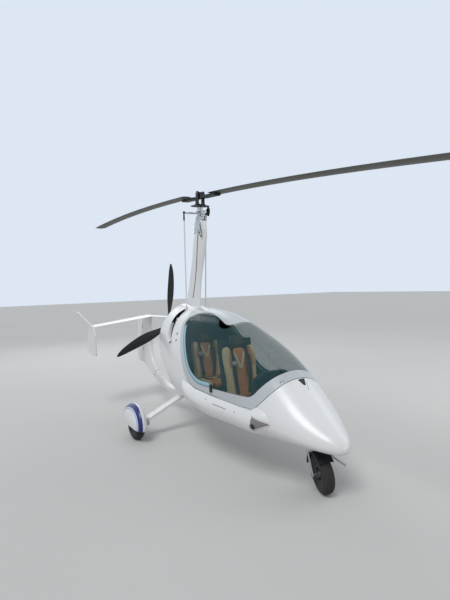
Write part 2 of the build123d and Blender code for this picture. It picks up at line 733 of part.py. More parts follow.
fork_half = nose_tyre_width / 2 + 30
fork_tube = 10.0
guard_in = nose_tyre_radius + 10
guard_wall = 5.0
guard_out = guard_in + guard_wall
guard_half = nose_tyre_width / 2 + 12
with BuildPart() as nose_fork:
    for side in (-1, 1):
        with BuildSketch(steer_plane.offset(-12)):
            with Locations((side * fork_half, 0)):
                Circle(fork_tube)
        extrude(amount=guard_out + 18)
    with BuildSketch(steer_plane.offset(guard_out)):
        RectangleRounded(2 * (fork_half + fork_tube) + 4, 44, 8)
    extrude(amount=12)
    with BuildSketch(steer_plane.offset(guard_out + 6)):
        Circle(nose_stem_radius)
    extrude(amount=150)
    axle_plane = Plane(origin=steer_plane.origin, z_dir=steer_plane.x_dir)
    with BuildSketch(axle_plane.offset(-(fork_half + 14))):
        Circle(nose_axle_radius)
    extrude(amount=2 * (fork_half + 14))
    with BuildSketch(axle_plane.offset(-(fork_half + 14))):
        Circle(tow_bore_radius)
    extrude(amount=2 * (fork_half + 14), mode=Mode.SUBTRACT)
write_piece(nose_fork.part, "nose_fork")

guard_sweep = 120.0
guard_start = (-steer_plane.y_dir).rotate(Axis((0, 0, 0), tuple(axle_dir)), -guard_sweep / 2)
with BuildPart() as mudguard:
    with BuildSketch(Plane(origin=steer_plane.origin, x_dir=steer_plane.x_dir, z_dir=guard_start)):
        with BuildLine():
            Polyline((-guard_half, guard_in - 18), (-guard_half, guard_in + guard_wall),
                     (guard_half, guard_in + guard_wall), (guard_half, guard_in - 18),
                     (guard_half - guard_wall, guard_in - 18), (guard_half - guard_wall, guard_in),
                     (-guard_half + guard_wall, guard_in), (-guard_half + guard_wall, guard_in - 18),
                     close=True)
        make_face()
    revolve(axis=Axis(steer_plane.origin, steer_plane.x_dir), revolution_arc=guard_sweep)
write_piece(mudguard.part, "nose_mudguard")

# Pitot tube under the nose
with BuildPart() as pitot_tube:
    with BuildLine():
        pitot_path = FilletPolyline((0, -2090, 390), (0, -2110, 338), (0, -2250, 312), radius=20)
    with BuildSketch(Plane(origin=pitot_path @ 0, z_dir=pitot_path % 0)):
        Circle(7)
    sweep(path=pitot_path)
    add(pod_outer, mode=Mode.SUBTRACT)
write_piece(pitot_tube.part, "pitot_tube")

# Steering bearing tube on the hull's floor
with BuildPart() as steering_bearing:
    with BuildSketch(steer_plane.offset(bearing_low)):
        Circle(bearing_radius)
        Circle(nose_stem_radius + pin_play, mode=Mode.SUBTRACT)
    extrude(amount=bearing_length)
write_piece(steering_bearing.part, "steering_bearing")

# Rotor head
pitch_axis_z = 2520.0
roll_axis_z = 2560.0
head_pin = 8.0
cheek_in = 36.0
with BuildPart() as mast_head:
    for side in (-1, 1):
        with BuildSketch(Plane.YZ.offset(side * cheek_in)):
            with BuildLine():
                Polyline((-60, 2350), (-42, 2535), (-20, 2548), (20, 2548), (42, 2535), (110, 2350), close=True)
            make_face()
            with Locations((0, pitch_axis_z)):
                Circle(head_pin + pin_play, mode=Mode.SUBTRACT)
        extrude(amount=side * 9)
    add(mast.part, mode=Mode.SUBTRACT)
write_piece(mast_head.part, "mast_head")

with BuildPart() as gimbal_block:
    with Locations((0, 0, 2540)):
        Box(2 * (cheek_in - 7), 60, 82)
    with BuildSketch(Plane.XZ.offset(-60)):
        with Locations((0, roll_axis_z)):
            Circle(head_pin + pin_play)
    extrude(amount=120, mode=Mode.SUBTRACT)
    with BuildSketch(Plane.YZ.offset(-(cheek_in + 15))):
        with Locations((0, pitch_axis_z)):
            Circle(head_pin)
    extrude(amount=2 * (cheek_in + 15))
write_piece(gimbal_block.part, "gimbal_block")

tilt = math.radians(rotor_tilt)
rotor_plane = Plane(origin=(0, 0, teeter_height), x_dir=(1, 0, 0), z_dir=(0, -math.sin(tilt), math.cos(tilt)))
rotor_place = rotor_plane.location
arm_half = 134.0
arm_y = 150.0
with BuildPart() as head_beam:
    with Locations((0, 0, 2598)):
        Box(84, 110, 12)
    for end in (-1, 1):
        with Locations((0, end * 42, 2568)):
            Box(44, 12, 60)
    with BuildSketch(Plane.XZ.offset(-56)):
        with Locations((0, roll_axis_z)):
            Circle(head_pin)
    extrude(amount=112)
    with BuildSketch(rotor_plane.offset(-216)):
        Circle(34)
    extrude(amount=60)
    with Locations((0, 105, 2598)):
        Box(36, 100, 12)
    with BuildSketch(Plane.YZ.offset(-arm_half)):
        with Locations((arm_y, 2598)):
            Circle(10)
    extrude(amount=2 * arm_half)
    with BuildSketch(rotor_plane.offset(-230)):
        Circle(15 + pin_play)
    extrude(amount=90, mode=Mode.SUBTRACT)
write_piece(head_beam.part, "head_beam")

# Rotor tower that spins: spindle, gear disc and the two teeter cheeks
with BuildPart() as rotor_tower:
    with BuildSketch(rotor_plane.offset(-206)):
        Circle(15)
    extrude(amount=80)
    with BuildSketch(rotor_plane.offset(-150)):
        Circle(105)
    extrude(amount=9)
    with BuildSketch(rotor_plane.offset(-141)):
        RectangleRounded(110, 84, 10)
    extrude(amount=18)
    for side in (-1, 1):
        with BuildSketch(Plane(origin=(rotor_plane * Pos(side * 32, 0, 0)).position,
                               x_dir=rotor_plane.y_dir, z_dir=(1, 0, 0))):
            with BuildLine():
                Polyline((-36, -124), (-28, 14), (-12, 28), (12, 28), (28, 14), (36, -124), close=True)
            make_face()
        extrude(amount=side * 12)
    with BuildSketch(Plane(origin=(rotor_plane * Pos(-56, 0, 0)).position, x_dir=rotor_plane.y_dir,
                           z_dir=(1, 0, 0))):
        Circle(10)
    extrude(amount=112)
write_piece(rotor_tower.part, "rotor_tower")

# Hub bar with the teeter block
bar_low = -62.0
bar_high = -34.0
with BuildPart() as hub_bar_local:
    with BuildSketch(Plane.XY.offset(bar_low)):
        with BuildLine():
            Polyline((-26, 0), (-26, 70), (-40, 110), (-40, 420), (40, 420), (40, 110), (26, 70), (26, -70),
                     (40, -110), (40, -420), (-40, -420), (-40, -110), (-26, -70), close=True)
        make_face()
    extrude(amount=bar_high - bar_low)
    with BuildSketch(Plane.YZ.offset(-25)):
        with BuildLine():
            Polyline((-60, bar_high), (-22, 18), (22, 18), (60, bar_high), close=True)
        make_face()
    extrude(amount=50)
    with BuildSketch(Plane.YZ.offset(-30)):
        Circle(10 + pin_play)
    extrude(amount=60, mode=Mode.SUBTRACT)
write_piece(rotor_place * hub_bar_local.part, "hub_bar")

blade_height = bar_high + blade_depth / 2 + 1
droop_axis = Axis((0, 0, blade_height - droop_radius), (1, 0, 0))
for end, name in ((-1, "rotor_blade_front"), (1, "rotor_blade_rear")):
    with BuildPart() as rotor_blade:
        with BuildSketch(Plane.XZ.offset(-end * blade_root)):
            with BuildLine():
                lead = end * blade_chord * 0.3
                trail = -end * blade_chord * 0.7
                ThreePointArc((lead, blade_height), (0, blade_height + blade_depth * 0.55),
                              (trail, blade_height - 3))
                ThreePointArc((trail, blade_height - 3), (0, blade_height - blade_depth * 0.45),
                              (lead, blade_height))
            make_face()
        revolve(axis=droop_axis, revolution_arc=-end * math.degrees((rotor_radius - blade_root) / droop_radius))
        add(hub_bar_local.part, mode=Mode.SUBTRACT)
    write_piece(rotor_place * rotor_blade.part, name)

# Push rods beside the mast
rod_radius = 8.0
rod_eye_x = arm_half + 14
with BuildPart() as push_rods:
    for side in (-1, 1):
        low = Vector(side * rod_place[0], rod_place[1], 1360)
        high = Vector(side * rod_eye_x, arm_y, 2585)
        with BuildSketch(Plane(origin=low, z_dir=(high - low).normalized())):
            Circle(rod_radius)
        extrude(amount=(high - low).length)
        with BuildSketch(Plane.YZ.offset(side * rod_eye_x - 7)):
            with Locations((arm_y, 2598)):
                Circle(17)
        extrude(amount=14)
write_piece(push_rods.part, "push_rods")

# Canopy hinges outside the port sill, and the latch on the starboard one
with BuildPart() as canopy_hinges:
    for end in hinge_ends:
        hinge_plane = Plane(origin=end, x_dir=(1, 0, 0), z_dir=hinge_axis)
        with BuildSketch(hinge_plane.offset(-hinge_half / 2)):
            Circle(hinge_radius)
            Circle(hinge_pin + pin_play, mode=Mode.SUBTRACT)
        extrude(amount=hinge_half)
        with Locations((end[0] - 16, end[1], end[2] + 18)):
            Box(32, hinge_half, 22)
        with BuildSketch(hinge_plane.offset(-hinge_half)):
            Circle(hinge_pin + pin_play)
        extrude(amount=2 * hinge_half, mode=Mode.SUBTRACT)
    add(pod_outer, mode=Mode.SUBTRACT)
write_piece(canopy_hinges.part, "canopy_hinges")

with BuildPart() as hull_hinges:
    for end in hinge_ends:
        hinge_plane = Plane(origin=end, x_dir=(1, 0, 0), z_dir=hinge_axis)
        for low in (-hinge_half * 1.25, hinge_half * 0.5 + 0.5):
            with BuildSketch(hinge_plane.offset(low)):
                Circle(hinge_radius)
            extrude(amount=hinge_half * 0.75 - 0.5)
            with Locations((end[0], end[1] + low + hinge_half * 0.375, end[2] - 13)):
                Box(14, hinge_half * 0.75 - 3, 16)
        with BuildSketch(hinge_plane.offset(-hinge_half)):
            Circle(hinge_pin)
        extrude(amount=2 * hinge_half)
    add(blister.part, mode=Mode.SUBTRACT)
write_piece(hull_hinges.part, "hull_hinges")

with BuildPart() as canopy_latch:
    with Locations((-430, -925, 722)):
        Box(30, 24, 72)
    add(pod_outer, mode=Mode.SUBTRACT)
write_piece(canopy_latch.part, "canopy_latch")
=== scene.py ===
import bpy
import bmesh
import math
from mathutils import Matrix, Vector
from mathutils.bvhtree import BVHTree


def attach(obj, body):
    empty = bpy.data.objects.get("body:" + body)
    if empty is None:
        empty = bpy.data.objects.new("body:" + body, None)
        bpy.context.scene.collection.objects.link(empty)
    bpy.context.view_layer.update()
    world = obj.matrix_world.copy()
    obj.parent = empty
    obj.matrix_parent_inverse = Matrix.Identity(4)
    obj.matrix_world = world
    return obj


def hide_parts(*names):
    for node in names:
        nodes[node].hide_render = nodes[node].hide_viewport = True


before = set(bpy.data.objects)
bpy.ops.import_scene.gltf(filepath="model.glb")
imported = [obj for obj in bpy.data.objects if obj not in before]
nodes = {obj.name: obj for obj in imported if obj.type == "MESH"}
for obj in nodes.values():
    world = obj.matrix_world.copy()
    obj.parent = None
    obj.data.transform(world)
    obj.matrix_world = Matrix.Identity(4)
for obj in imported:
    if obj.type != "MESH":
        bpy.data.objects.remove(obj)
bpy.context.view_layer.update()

# Camera and light: the camera was fitted to the photograph; a soft sun and two large lamps.
# The sky lights the object; the camera, gloss and glass see a plain pale backdrop in its place.
scene = bpy.context.scene
scene.view_settings.view_transform = "Standard"
camera_data = bpy.data.cameras.new("camera")
camera_data.lens = 26.85
camera_data.sensor_width = 36.0
camera_data.clip_end = 200.0
camera = bpy.data.objects.new("camera", camera_data)
scene.collection.objects.link(camera)
camera.location = (-2.4507, -4.7169, 1.7008)
camera.rotation_euler = [math.radians(v) for v in (88.2994, 1.8113, -30.2505)]
scene.camera = camera


def light(name, kind, energy, direction):
    """Lamp that shines along a direction."""
    data = bpy.data.lights.new(name, kind)
    data.energy = energy
    thing = bpy.data.objects.new(name, data)
    thing.rotation_euler = Vector(direction).to_track_quat("-Z", "Y").to_euler()
    scene.collection.objects.link(thing)
    return thing


for name, place, target, size, power in (("side", (7.0, -3.5, 5.0), (0, 0, 0.8), 5.0, 90),
                                         ("back", (1.0, 8.0, 6.0), (0, 0, 1.0), 6.0, 130)):
    lamp = light(name, "AREA", power, Vector(target) - Vector(place))
    lamp.location = place
    lamp.data.size = size
sun = light("sun", "SUN", 1.3, (4.5, 3.2, -7.5))
sun.data.angle = math.radians(26)

world = bpy.data.worlds.new("studio")
world.use_nodes = True
scene.world = world
studio = world.node_tree
sky = studio.nodes["Background"]
sky.inputs["Color"].default_value = (0.86, 0.89, 0.93, 1)
sky.inputs["Strength"].default_value = 0.46
backdrop = studio.nodes.new("ShaderNodeBackground")
backdrop.inputs["Color"].default_value = (0.72, 0.80, 0.90, 1)
backdrop.inputs["Strength"].default_value = 1.0
path = studio.nodes.new("ShaderNodeLightPath")
choose = studio.nodes.new("ShaderNodeMixShader")
seen = path.outputs["Is Camera Ray"]
for kind in ("Is Glossy Ray", "Is Transmission Ray"):
    either = studio.nodes.new("ShaderNodeMath")
    either.operation = "MAXIMUM"
    studio.links.new(seen, either.inputs[0])
    studio.links.new(path.outputs[kind], either.inputs[1])
    seen = either.outputs[0]
studio.links.new(seen, choose.inputs[0])
studio.links.new(sky.outputs[0], choose.inputs[1])
studio.links.new(backdrop.outputs[0], choose.inputs[2])
studio.links.new(choose.outputs[0], studio.nodes["World Output"].inputs["Surface"])


# Hull and engine cowl: glass fibre mouldings in white gelcoat, with a navy lining inside.
# Road dust thickens towards the ground; the two cowl halves are screwed to the hull's rear.
def finish(name, color, rough, metal=0.0, coat=0.0, vary=0.05, vary_scale=3.0, bump=0.0,
           bump_scale=200.0):
    """Finish whose colour varies a little over a piece, with a fine bump where it has grain."""
    mat = bpy.data.materials.new(name)
    mat.use_nodes = True
    new, link = mat.node_tree.nodes.new, mat.node_tree.links.new
    bsdf = mat.node_tree.nodes["Principled BSDF"]
    for socket, value in (("Roughness", rough), ("Metallic", metal), ("Coat Weight", coat),
                          ("Coat Roughness", 0.22)):
        bsdf.inputs[socket].default_value = value
    place = new("ShaderNodeTexCoord")
    place.name = "place"
    patches = new("ShaderNodeTexNoise")
    patches.inputs["Scale"].default_value = vary_scale
    patches.inputs["Detail"].default_value = 6
    ramp = new("ShaderNodeValToRGB")
    for stop, spot, shade in zip(ramp.color_ramp.elements, (0.3, 0.7), (1 - vary, 1 + vary)):
        stop.position = spot
        stop.color = [min(1, c * shade) for c in color] + [1]
    link(place.outputs["Object"], patches.inputs["Vector"])
    link(patches.outputs["Fac"], ramp.inputs["Fac"])
    link(ramp.outputs["Color"], bsdf.inputs["Base Color"])
    if bump:
        grain = new("ShaderNodeTexNoise")
        grain.inputs["Scale"].default_value = bump_scale
        grain.inputs["Detail"].default_value = 4
        relief = new("ShaderNodeBump")
        relief.inputs["Strength"].default_value = bump
        relief.inputs["Distance"].default_value = 0.001
        link(place.outputs["Object"], grain.inputs["Vector"])
        link(grain.outputs["Fac"], relief.inputs["Height"])
        link(relief.outputs["Normal"], bsdf.inputs["Normal"])
    return mat


def laid_over(mat, amount, color):
    """Puts a colour over a finish where the amount socket says so."""
    tree = mat.node_tree
    base = tree.nodes["Principled BSDF"].inputs["Base Color"]
    mix = tree.nodes.new("ShaderNodeMix")
    mix.data_type = "RGBA"
    mix.inputs["B"].default_value = (*color, 1)
    tree.links.new(amount, mix.inputs["Factor"])
    tree.links.new(base.links[0].from_socket, mix.inputs["A"])
    tree.links.new(mix.outputs["Result"], base)
    return mat


def dusty(mat, low, high, most=0.35):
    """Dust on a paint that thickens downwards between two heights."""
    new, link = mat.node_tree.nodes.new, mat.node_tree.links.new
    place = mat.node_tree.nodes["place"].outputs["Object"]
    split = new("ShaderNodeSeparateXYZ")
    height = new("ShaderNodeMapRange")
    for socket, value in (("From Min", low), ("From Max", high), ("To Min", most),
                          ("To Max", 0.0)):
        height.inputs[socket].default_value = value
    speck = new("ShaderNodeTexNoise")
    speck.inputs["Scale"].default_value = 9.0
    speck.inputs["Detail"].default_value = 8
    amount = new("ShaderNodeMath")
    amount.operation = "MULTIPLY"
    link(place, split.inputs[0])
    link(split.outputs["Z"], height.inputs["Value"])
    link(place, speck.inputs["Vector"])
    link(height.outputs["Result"], amount.inputs[0])
    link(speck.outputs["Fac"], amount.inputs[1])
    return laid_over(mat, amount.outputs[0], (0.45, 0.4, 0.33))


def lined(mat, inside):
    """The faces that look towards the cabin's middle line get the lining's colour."""
    new, link = mat.node_tree.nodes.new, mat.node_tree.links.new
    place = mat.node_tree.nodes["place"]
    split = new("ShaderNodeSeparateXYZ")
    # the middle line rises from the nose (y, z) to the seat backs
    nose, backs = (-2.25, 0.43), (-0.6, 0.80)
    middle = new("ShaderNodeMapRange")
    for socket, value in (("From Min", nose[0]), ("From Max", backs[0]), ("To Min", nose[1]),
                          ("To Max", backs[1])):
        middle.inputs[socket].default_value = value
    centre = new("ShaderNodeCombineXYZ")
    away = new("ShaderNodeVectorMath")
    away.operation = "SUBTRACT"
    flat = new("ShaderNodeVectorMath")
    flat.operation = "MULTIPLY"
    flat.inputs[1].default_value = (1, 0, 1)
    dot = new("ShaderNodeVectorMath")
    dot.operation = "DOT_PRODUCT"
    inward = new("ShaderNodeMath")
    inward.operation = "LESS_THAN"
    inward.inputs[1].default_value = -0.05
    link(place.outputs["Object"], split.inputs[0])
    link(split.outputs["Y"], middle.inputs["Value"])
    link(middle.outputs["Result"], centre.inputs["Z"])
    link(place.outputs["Object"], away.inputs[0])
    link(centre.outputs[0], away.inputs[1])
    link(away.outputs[0], flat.inputs[0])
    link(flat.outputs[0], dot.inputs[0])
    link(place.outputs["Normal"], dot.inputs[1])
    link(dot.outputs["Value"], inward.inputs[0])
    return laid_over(mat, inward.outputs[0], inside)


def gelcoat(name, low, high, most=0.35, vary_scale=2.0):
    """White gelcoat with dust between two heights."""
    mat = finish(name, (0.82, 0.83, 0.84), 0.28, coat=0.30, vary=0.02, vary_scale=vary_scale,
                 bump=0.03, bump_scale=60)
    return dusty(mat, low, high, most)


def dress(mat, *names):
    """Gives CAD nodes their finish."""
    for name in names:
        nodes[name].data.materials.clear()
        nodes[name].data.materials.append(mat)


hull_white = lined(gelcoat("hull_gelcoat", 0.25, 0.6), (0.016, 0.02, 0.034))
dress(hull_white, "lower_hull", "upper_hull", "engine_cowl_port", "engine_cowl_starboard")


# Nose cap: a small rounded end, bonded on the flat tip of the nose moulding.
# The same white gelcoat, domed out from the tip's own outline.
def make(name, verts, faces, mats, body="airframe", smooth=True):
    """Piece from points and faces, fixed to a body."""
    mesh = bpy.data.meshes.new(name)
    mesh.from_pydata([tuple(v) for v in verts], [], faces)
    for mat in mats:
        mesh.materials.append(mat)
    if smooth:
        mesh.shade_smooth()
    thing = bpy.data.objects.new(name, mesh)
    scene.collection.objects.link(thing)
    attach(thing, body)
    return thing


def outwards(thing):
    """Turns every face of a closed piece outwards."""
    bm = bmesh.new()
    bm.from_mesh(thing.data)
    bmesh.ops.recalc_face_normals(bm, faces=bm.faces)
    bm.to_mesh(thing.data)
    bm.free()
    return thing


def rings_joined(rows, n):
    """Faces between rows of n points that each close on themselves."""
    return [(row * n + k, row * n + (k + 1) % n, (row + 1) * n + (k + 1) % n, (row + 1) * n + k)
            for row in range(rows - 1) for k in range(n)]


white = gelcoat("white_gelcoat", 0.25, 0.75)
tip_depth = 0.0002
hull_spots = [v.co for v in nodes["lower_hull"].data.vertices]
foremost = min(p.y for p in hull_spots)
tip = [p for p in hull_spots if p.y < foremost + tip_depth]
tip_centre = Vector((0, foremost, (min(p.z for p in tip) + max(p.z for p in tip)) / 2))
reach_at = {}
for p in tip:
    angle = round(math.atan2(p.z - tip_centre.z, p.x - tip_centre.x), 3)
    reach = math.hypot(p.x - tip_centre.x, p.z - tip_centre.z)
    reach_at[angle] = max(reach_at.get(angle, 0), reach)
# the points of the outline, without those further in
outer_share = 0.6
widest = max(reach_at.values())
tip_ring = [(a, reach) for a, reach in sorted(reach_at.items()) if reach > widest * outer_share]
# rows of the dome: share of the outline, how far it stands out
dome = ((1.0, -0.003), (1.0, 0.0), (0.96, 0.004), (0.86, 0.008), (0.70, 0.0115), (0.45, 0.0142),
        (0.2, 0.0155))
verts = [tip_centre + Vector((math.cos(a) * reach * share, -lift, math.sin(a) * reach * share))
         for share, lift in dome for a, reach in tip_ring]
n = len(tip_ring)
faces = rings_joined(len(dome), n) + [tuple(range(n)), tuple(range(len(verts) - n, len(verts)))]
outwards(make("nose_cap", verts, faces, [white]))


# Side pods and landing lights: white mouldings along the hull with a clear pointed cover.
# A black round lamp sits behind the cover's rear, and a white bead runs round its edge.
def glass(name, color, rough, alpha):
    """Clear moulding: a coloured skin that lets most of what is behind it through."""
    mat = finish(name, color, rough, vary=0.02)
    bsdf = mat.node_tree.nodes["Principled BSDF"]
    for socket, value in (("Alpha", alpha), ("IOR", 1.49), ("Specular IOR Level", 0.6)):
        bsdf.inputs[socket].default_value = value
    return mat


def tube(name, points, radius, mat, body="airframe", sides=8, closed=False, squash=1.0):
    """Tube along points; squash flattens its section."""
    points = [Vector(p) for p in points]
    verts = []
    count = len(points)
    side_dir = None
    for i, point in enumerate(points):
        ahead = points[(i + 1) % count] if closed or i + 1 < count else point
        behind = points[i - 1] if closed or i > 0 else point
        along = (ahead - behind).normalized()
        if side_dir is None:
            side_dir = along.orthogonal().normalized()
        side_dir = (side_dir - along * side_dir.dot(along)).normalized()
        up = along.cross(side_dir)
        for k in range(sides):
            a = 2 * math.pi * k / sides
            verts.append(point + side_dir * math.cos(a) * radius
                         + up * math.sin(a) * radius * squash)
    faces = rings_joined(count, sides)
    last = (count - 1) * sides
    if closed:
        faces += [(last + k, last + (k + 1) % sides, (k + 1) % sides, k) for k in range(sides)]
    else:
        faces += [tuple(range(sides))[::-1], tuple(range(last, last + sides))]
    return make(name, verts, faces, [mat], body)


def turned(name, centre, axis, profile, mat, body="airframe", steps=32, ring=False):
    """Turned piece: profile holds (along the axis, radius); ring joins its two ends."""
    axis = Vector(axis).normalized()
    u = axis.orthogonal().normalized()
    w = axis.cross(u)
    centre = Vector(centre)
    verts = []
    for along, radius in profile:
        for k in range(steps):
            a = 2 * math.pi * k / steps
            verts.append(centre + axis * along + (u * math.cos(a) + w * math.sin(a)) * radius)
    faces = rings_joined(len(profile), steps)
    last = (len(profile) - 1) * steps
    if ring:
        faces += [(last + k, last + (k + 1) % steps, (k + 1) % steps, k) for k in range(steps)]
    else:
        faces += [tuple(range(steps))[::-1], tuple(range(last, last + steps))]
    thing = outwards(make(name, verts, faces, [mat], body))
    thing.data.set_sharp_from_angle(angle=math.radians(40))
    return thing


def surface_of(things):
    """Tree of the faces of pieces, to lay others on them."""
    verts, faces = [], []
    for thing in things:
        start = len(verts)
        verts += [thing.matrix_world @ v.co for v in thing.data.vertices]
        faces += [[start + i for i in poly.vertices] for poly in thing.data.polygons]
    return BVHTree.FromPolygons(verts, faces)


both_sides = ((-1, "starboard"), (1, "port"))
lamp_cover = glass("lamp_cover", (0.30, 0.28, 0.28), 0.12, 0.80)
black_matte = finish("black_matte", (0.025, 0.025, 0.028), 0.7, vary=0.15, bump=0.3,
                     bump_scale=300)
dress(white, "side_pod_port", "side_pod_starboard")
dress(lamp_cover, "landing_light_port", "landing_light_starboard")
# the cover's three corners and the lamp's centre, as (y, z)
cover_corners = [Vector((-1.590, 0.602)), Vector((-1.745, 0.553)), Vector((-1.580, 0.478))]
lamp_spot = (-1.600, 0.520)
spots_per_edge = 8
lamp_profile = [(-0.006, 0.017), (-0.006, 0.024), (0.002, 0.024), (0.003, 0.021), (0.001, 0.016),
                (0.0005, 0.004)]
for side, tag in both_sides:
    cover = surface_of(nodes[name] for name in (f"landing_light_{tag}", f"side_pod_{tag}",
                                                "lower_hull"))
    rim_points = []
    for a, b in zip(cover_corners, cover_corners[1:] + cover_corners[:1]):
        for k in range(spots_per_edge):
            spot = a + (b - a) * (k / spots_per_edge)
            hit, _, _, _ = cover.ray_cast(Vector((side, *spot)), Vector((-side, 0, 0)))
            if hit is not None:
                rim_points.append(hit)
    tube(f"light_bead_{tag}", rim_points, 0.0035, white, closed=True)
    hit, normal, _, _ = cover.ray_cast(Vector((side, *lamp_spot)), Vector((-side, 0, 0)))
    turned(f"landing_lamp_{tag}", hit, normal, lamp_profile, black_matte, steps=28)


# Small things let into the skin: air vent, its slot, drain spots, vent louvre and screws.
# The vent is a flat black sheet of painted shade for its recess; the rest are flat dark marks that
# follow the moulding.
def skin_band(name, tree, outer, inner, direction, lift, mat, body="airframe"):
    """Thin band between two rows of points, dropped onto a surface."""
    verts, faces = [], []
    direction = Vector(direction)
    sunk = 0.001
    for pair in zip(outer, inner):
        for place in pair:
            hit, normal, _, _ = tree.ray_cast(Vector(place) - direction, direction)
            if hit is None:
                return None
            if normal.dot(direction) > 0:
                normal = -normal
            verts += [hit + normal * lift, hit - normal * sunk]
    count = len(outer)
    for i in range(count - 1):
        a = i * 4
        for k, m in ((0, 2), (2, 3), (3, 1), (1, 0)):
            faces.append((a + k, a + m, a + 4 + m, a + 4 + k))
    faces += [(0, 1, 3, 2), (count * 4 - 4, count * 4 - 2, count * 4 - 1, count * 4 - 3)]
    return outwards(make(name, verts, faces, [mat], body))


dark_steel = finish("dark_steel", (0.10, 0.10, 0.105), 0.45, metal=0.8, vary=0.15, vary_scale=20,
                    bump=0.1, bump_scale=400)
skin = surface_of(nodes[name] for name in ("lower_hull", "upper_hull", "side_pod_port",
                                           "side_pod_starboard", "engine_cowl_port",
                                           "engine_cowl_starboard"))
hull_skin = surface_of(nodes[name] for name in ("lower_hull", "upper_hull"))
down = Vector((0, 0, -1))
above = 1.0
# the vent is a triangle: its wide rear edge (x, y) draws in to a quarter at the front
vent_x, vent_front = 0.004, -1.795
vent_rear = [(-0.030 + 0.078 * k / 8, -1.7435 + 0.006 * (k / 8)) for k in range(9)]
# painted shade: the vent's recess is drawn as a flat black sheet on the skin
skin_band("nose_vent_shade", hull_skin, [(x, y, above) for x, y in vent_rear],
          [(vent_x + (x - vent_x) * 0.25, vent_front, above) for x, y in vent_rear], down, 0.0006,
          black_matte)
slot_inner, slot_outer = [[(x - 0.034 * k / 6, -1.760 - 0.075 * k / 6, above) for k in range(7)]
                          for x in (0.0465, 0.0495)]
skin_band("nose_slot", hull_skin, slot_inner, slot_outer, down, 0.0005, dark_steel)
# columns: y, z, radius, finish
skin_marks = ((0.030, 1.177, 0.014, black_matte), (0.003, 1.104, 0.014, black_matte),
              (-0.893, 0.621, 0.006, dark_steel), (-1.374, 0.599, 0.006, dark_steel))
for side, tag in both_sides:
    inward = Vector((-side, 0, 0))
    for index, (y, z, radius, mat) in enumerate(skin_marks):
        hit, normal, _, _ = skin.ray_cast(Vector((side, y, z)), inward)
        turned(f"skin_mark_{tag}_{index}", hit, normal,
               [(-0.002, radius * 0.8), (-0.002, radius), (0.0006, radius),
                (0.0010, radius * 0.86), (0.0010, radius * 0.3)], mat, steps=20)
    top, low = [[(side, -1.025 - 0.215 * k / 10, z - 0.0075 * k / 10) for k in range(11)]
                for z in (0.6045, 0.6000)]
    skin_band(f"louvre_{tag}", skin, top, low, inward, 0.0006, dark_steel)

# Canopy: a grey moulded frame with a tinted pane bonded in, hinged at port and latched at
# starboard. A light blue bonding strip shows inside the rear and lower edge of the pane.
frame_paint = lined(finish("canopy_frame_paint", (0.52, 0.56, 0.585), 0.32, coat=0.5, vary=0.03,
                           bump=0.03, bump_scale=60), (0.05, 0.10, 0.13))
tinted = glass("tinted_glass", (0.010, 0.080, 0.082), 0.02, 0.27)
light_blue = finish("frame_inner_edge", (0.30, 0.52, 0.62), 0.45, vary=0.05)
dress(frame_paint, "canopy_frame")
dress(tinted, "canopy_glass")
dress(dark_steel, "canopy_hinges", "hull_hinges")
dress(black_matte, "canopy_latch")
# the window's lower rear corner and its two edges from there, as (y, z)
window_corner = Vector((-0.480, 0.712))
window_top = Vector((-0.056, 1.294))
window_low = (Vector((-1.512, 0.737)) - window_corner).normalized()
window_high = (window_top - window_corner).normalized()
corner_radius = 0.460
edge_width = 0.044
half_turn = math.acos(window_low.dot(window_high)) / 2
reach_back = corner_radius / math.tan(half_turn)
to_centre = corner_radius / math.sin(half_turn)
round_centre = window_corner + (window_low + window_high).normalized() * to_centre
start = window_corner + window_low * reach_back
stop = window_corner + window_high * reach_back
low_run = 0.16
edge_run = [(start + window_low * low_run * (1 - k / 6), (round_centre - start).normalized())
            for k in range(6)]
first = math.atan2(start.y - round_centre.y, start.x - round_centre.x)
sweep = math.pi - 2 * half_turn
for k in range(25):
    angle = first + sweep * k / 24
    spot = round_centre + Vector((math.cos(angle), math.sin(angle))) * corner_radius
    edge_run.append((spot, (round_centre - spot).normalized()))
for k in range(1, 12):
    edge_run.append((stop + (window_top - stop) * (k / 12), (round_centre - stop).normalized()))
pane = surface_of([nodes["canopy_glass"]])
for side, tag in both_sides:
    outer, inner = [[(side, spot.x + inward.x * width, spot.y + inward.y * width)
                     for spot, inward in edge_run] for width in (0.002, edge_width)]
    skin_band(f"window_edge_{tag}", pane, outer, inner, (-side, 0, 0), 0.0008, light_blue,
              "canopy")
# two small screws beside the vent
frame_skin = surface_of([nodes["canopy_frame"]])
for index, (x, y) in enumerate(((-0.171, -1.690), (-0.150, -1.697))):
    hit, normal, _, _ = frame_skin.ray_cast(Vector((x, y, 1.6)), down)
    if hit is not None:
        turned(f"frame_mark_{index}", hit, normal, [(-0.002, 0.004), (-0.002, 0.006),
                                                    (0.0006, 0.006), (0.0008, 0.002)],
               black_matte, "canopy", steps=16)


# Seats: tan and cream leather pads on dark moulded shells, which stand on the cabin floor.
# Each pad is blown up by a short cloth run; the cream V and the harness are laid on it after.
def applied(thing):
    """Turns a piece's modifiers into plain mesh."""
    graph = bpy.context.evaluated_depsgraph_get()
    mesh = bpy.data.meshes.new_from_object(thing.evaluated_get(graph))
    thing.modifiers.clear()
    thing.data = mesh
    return thing


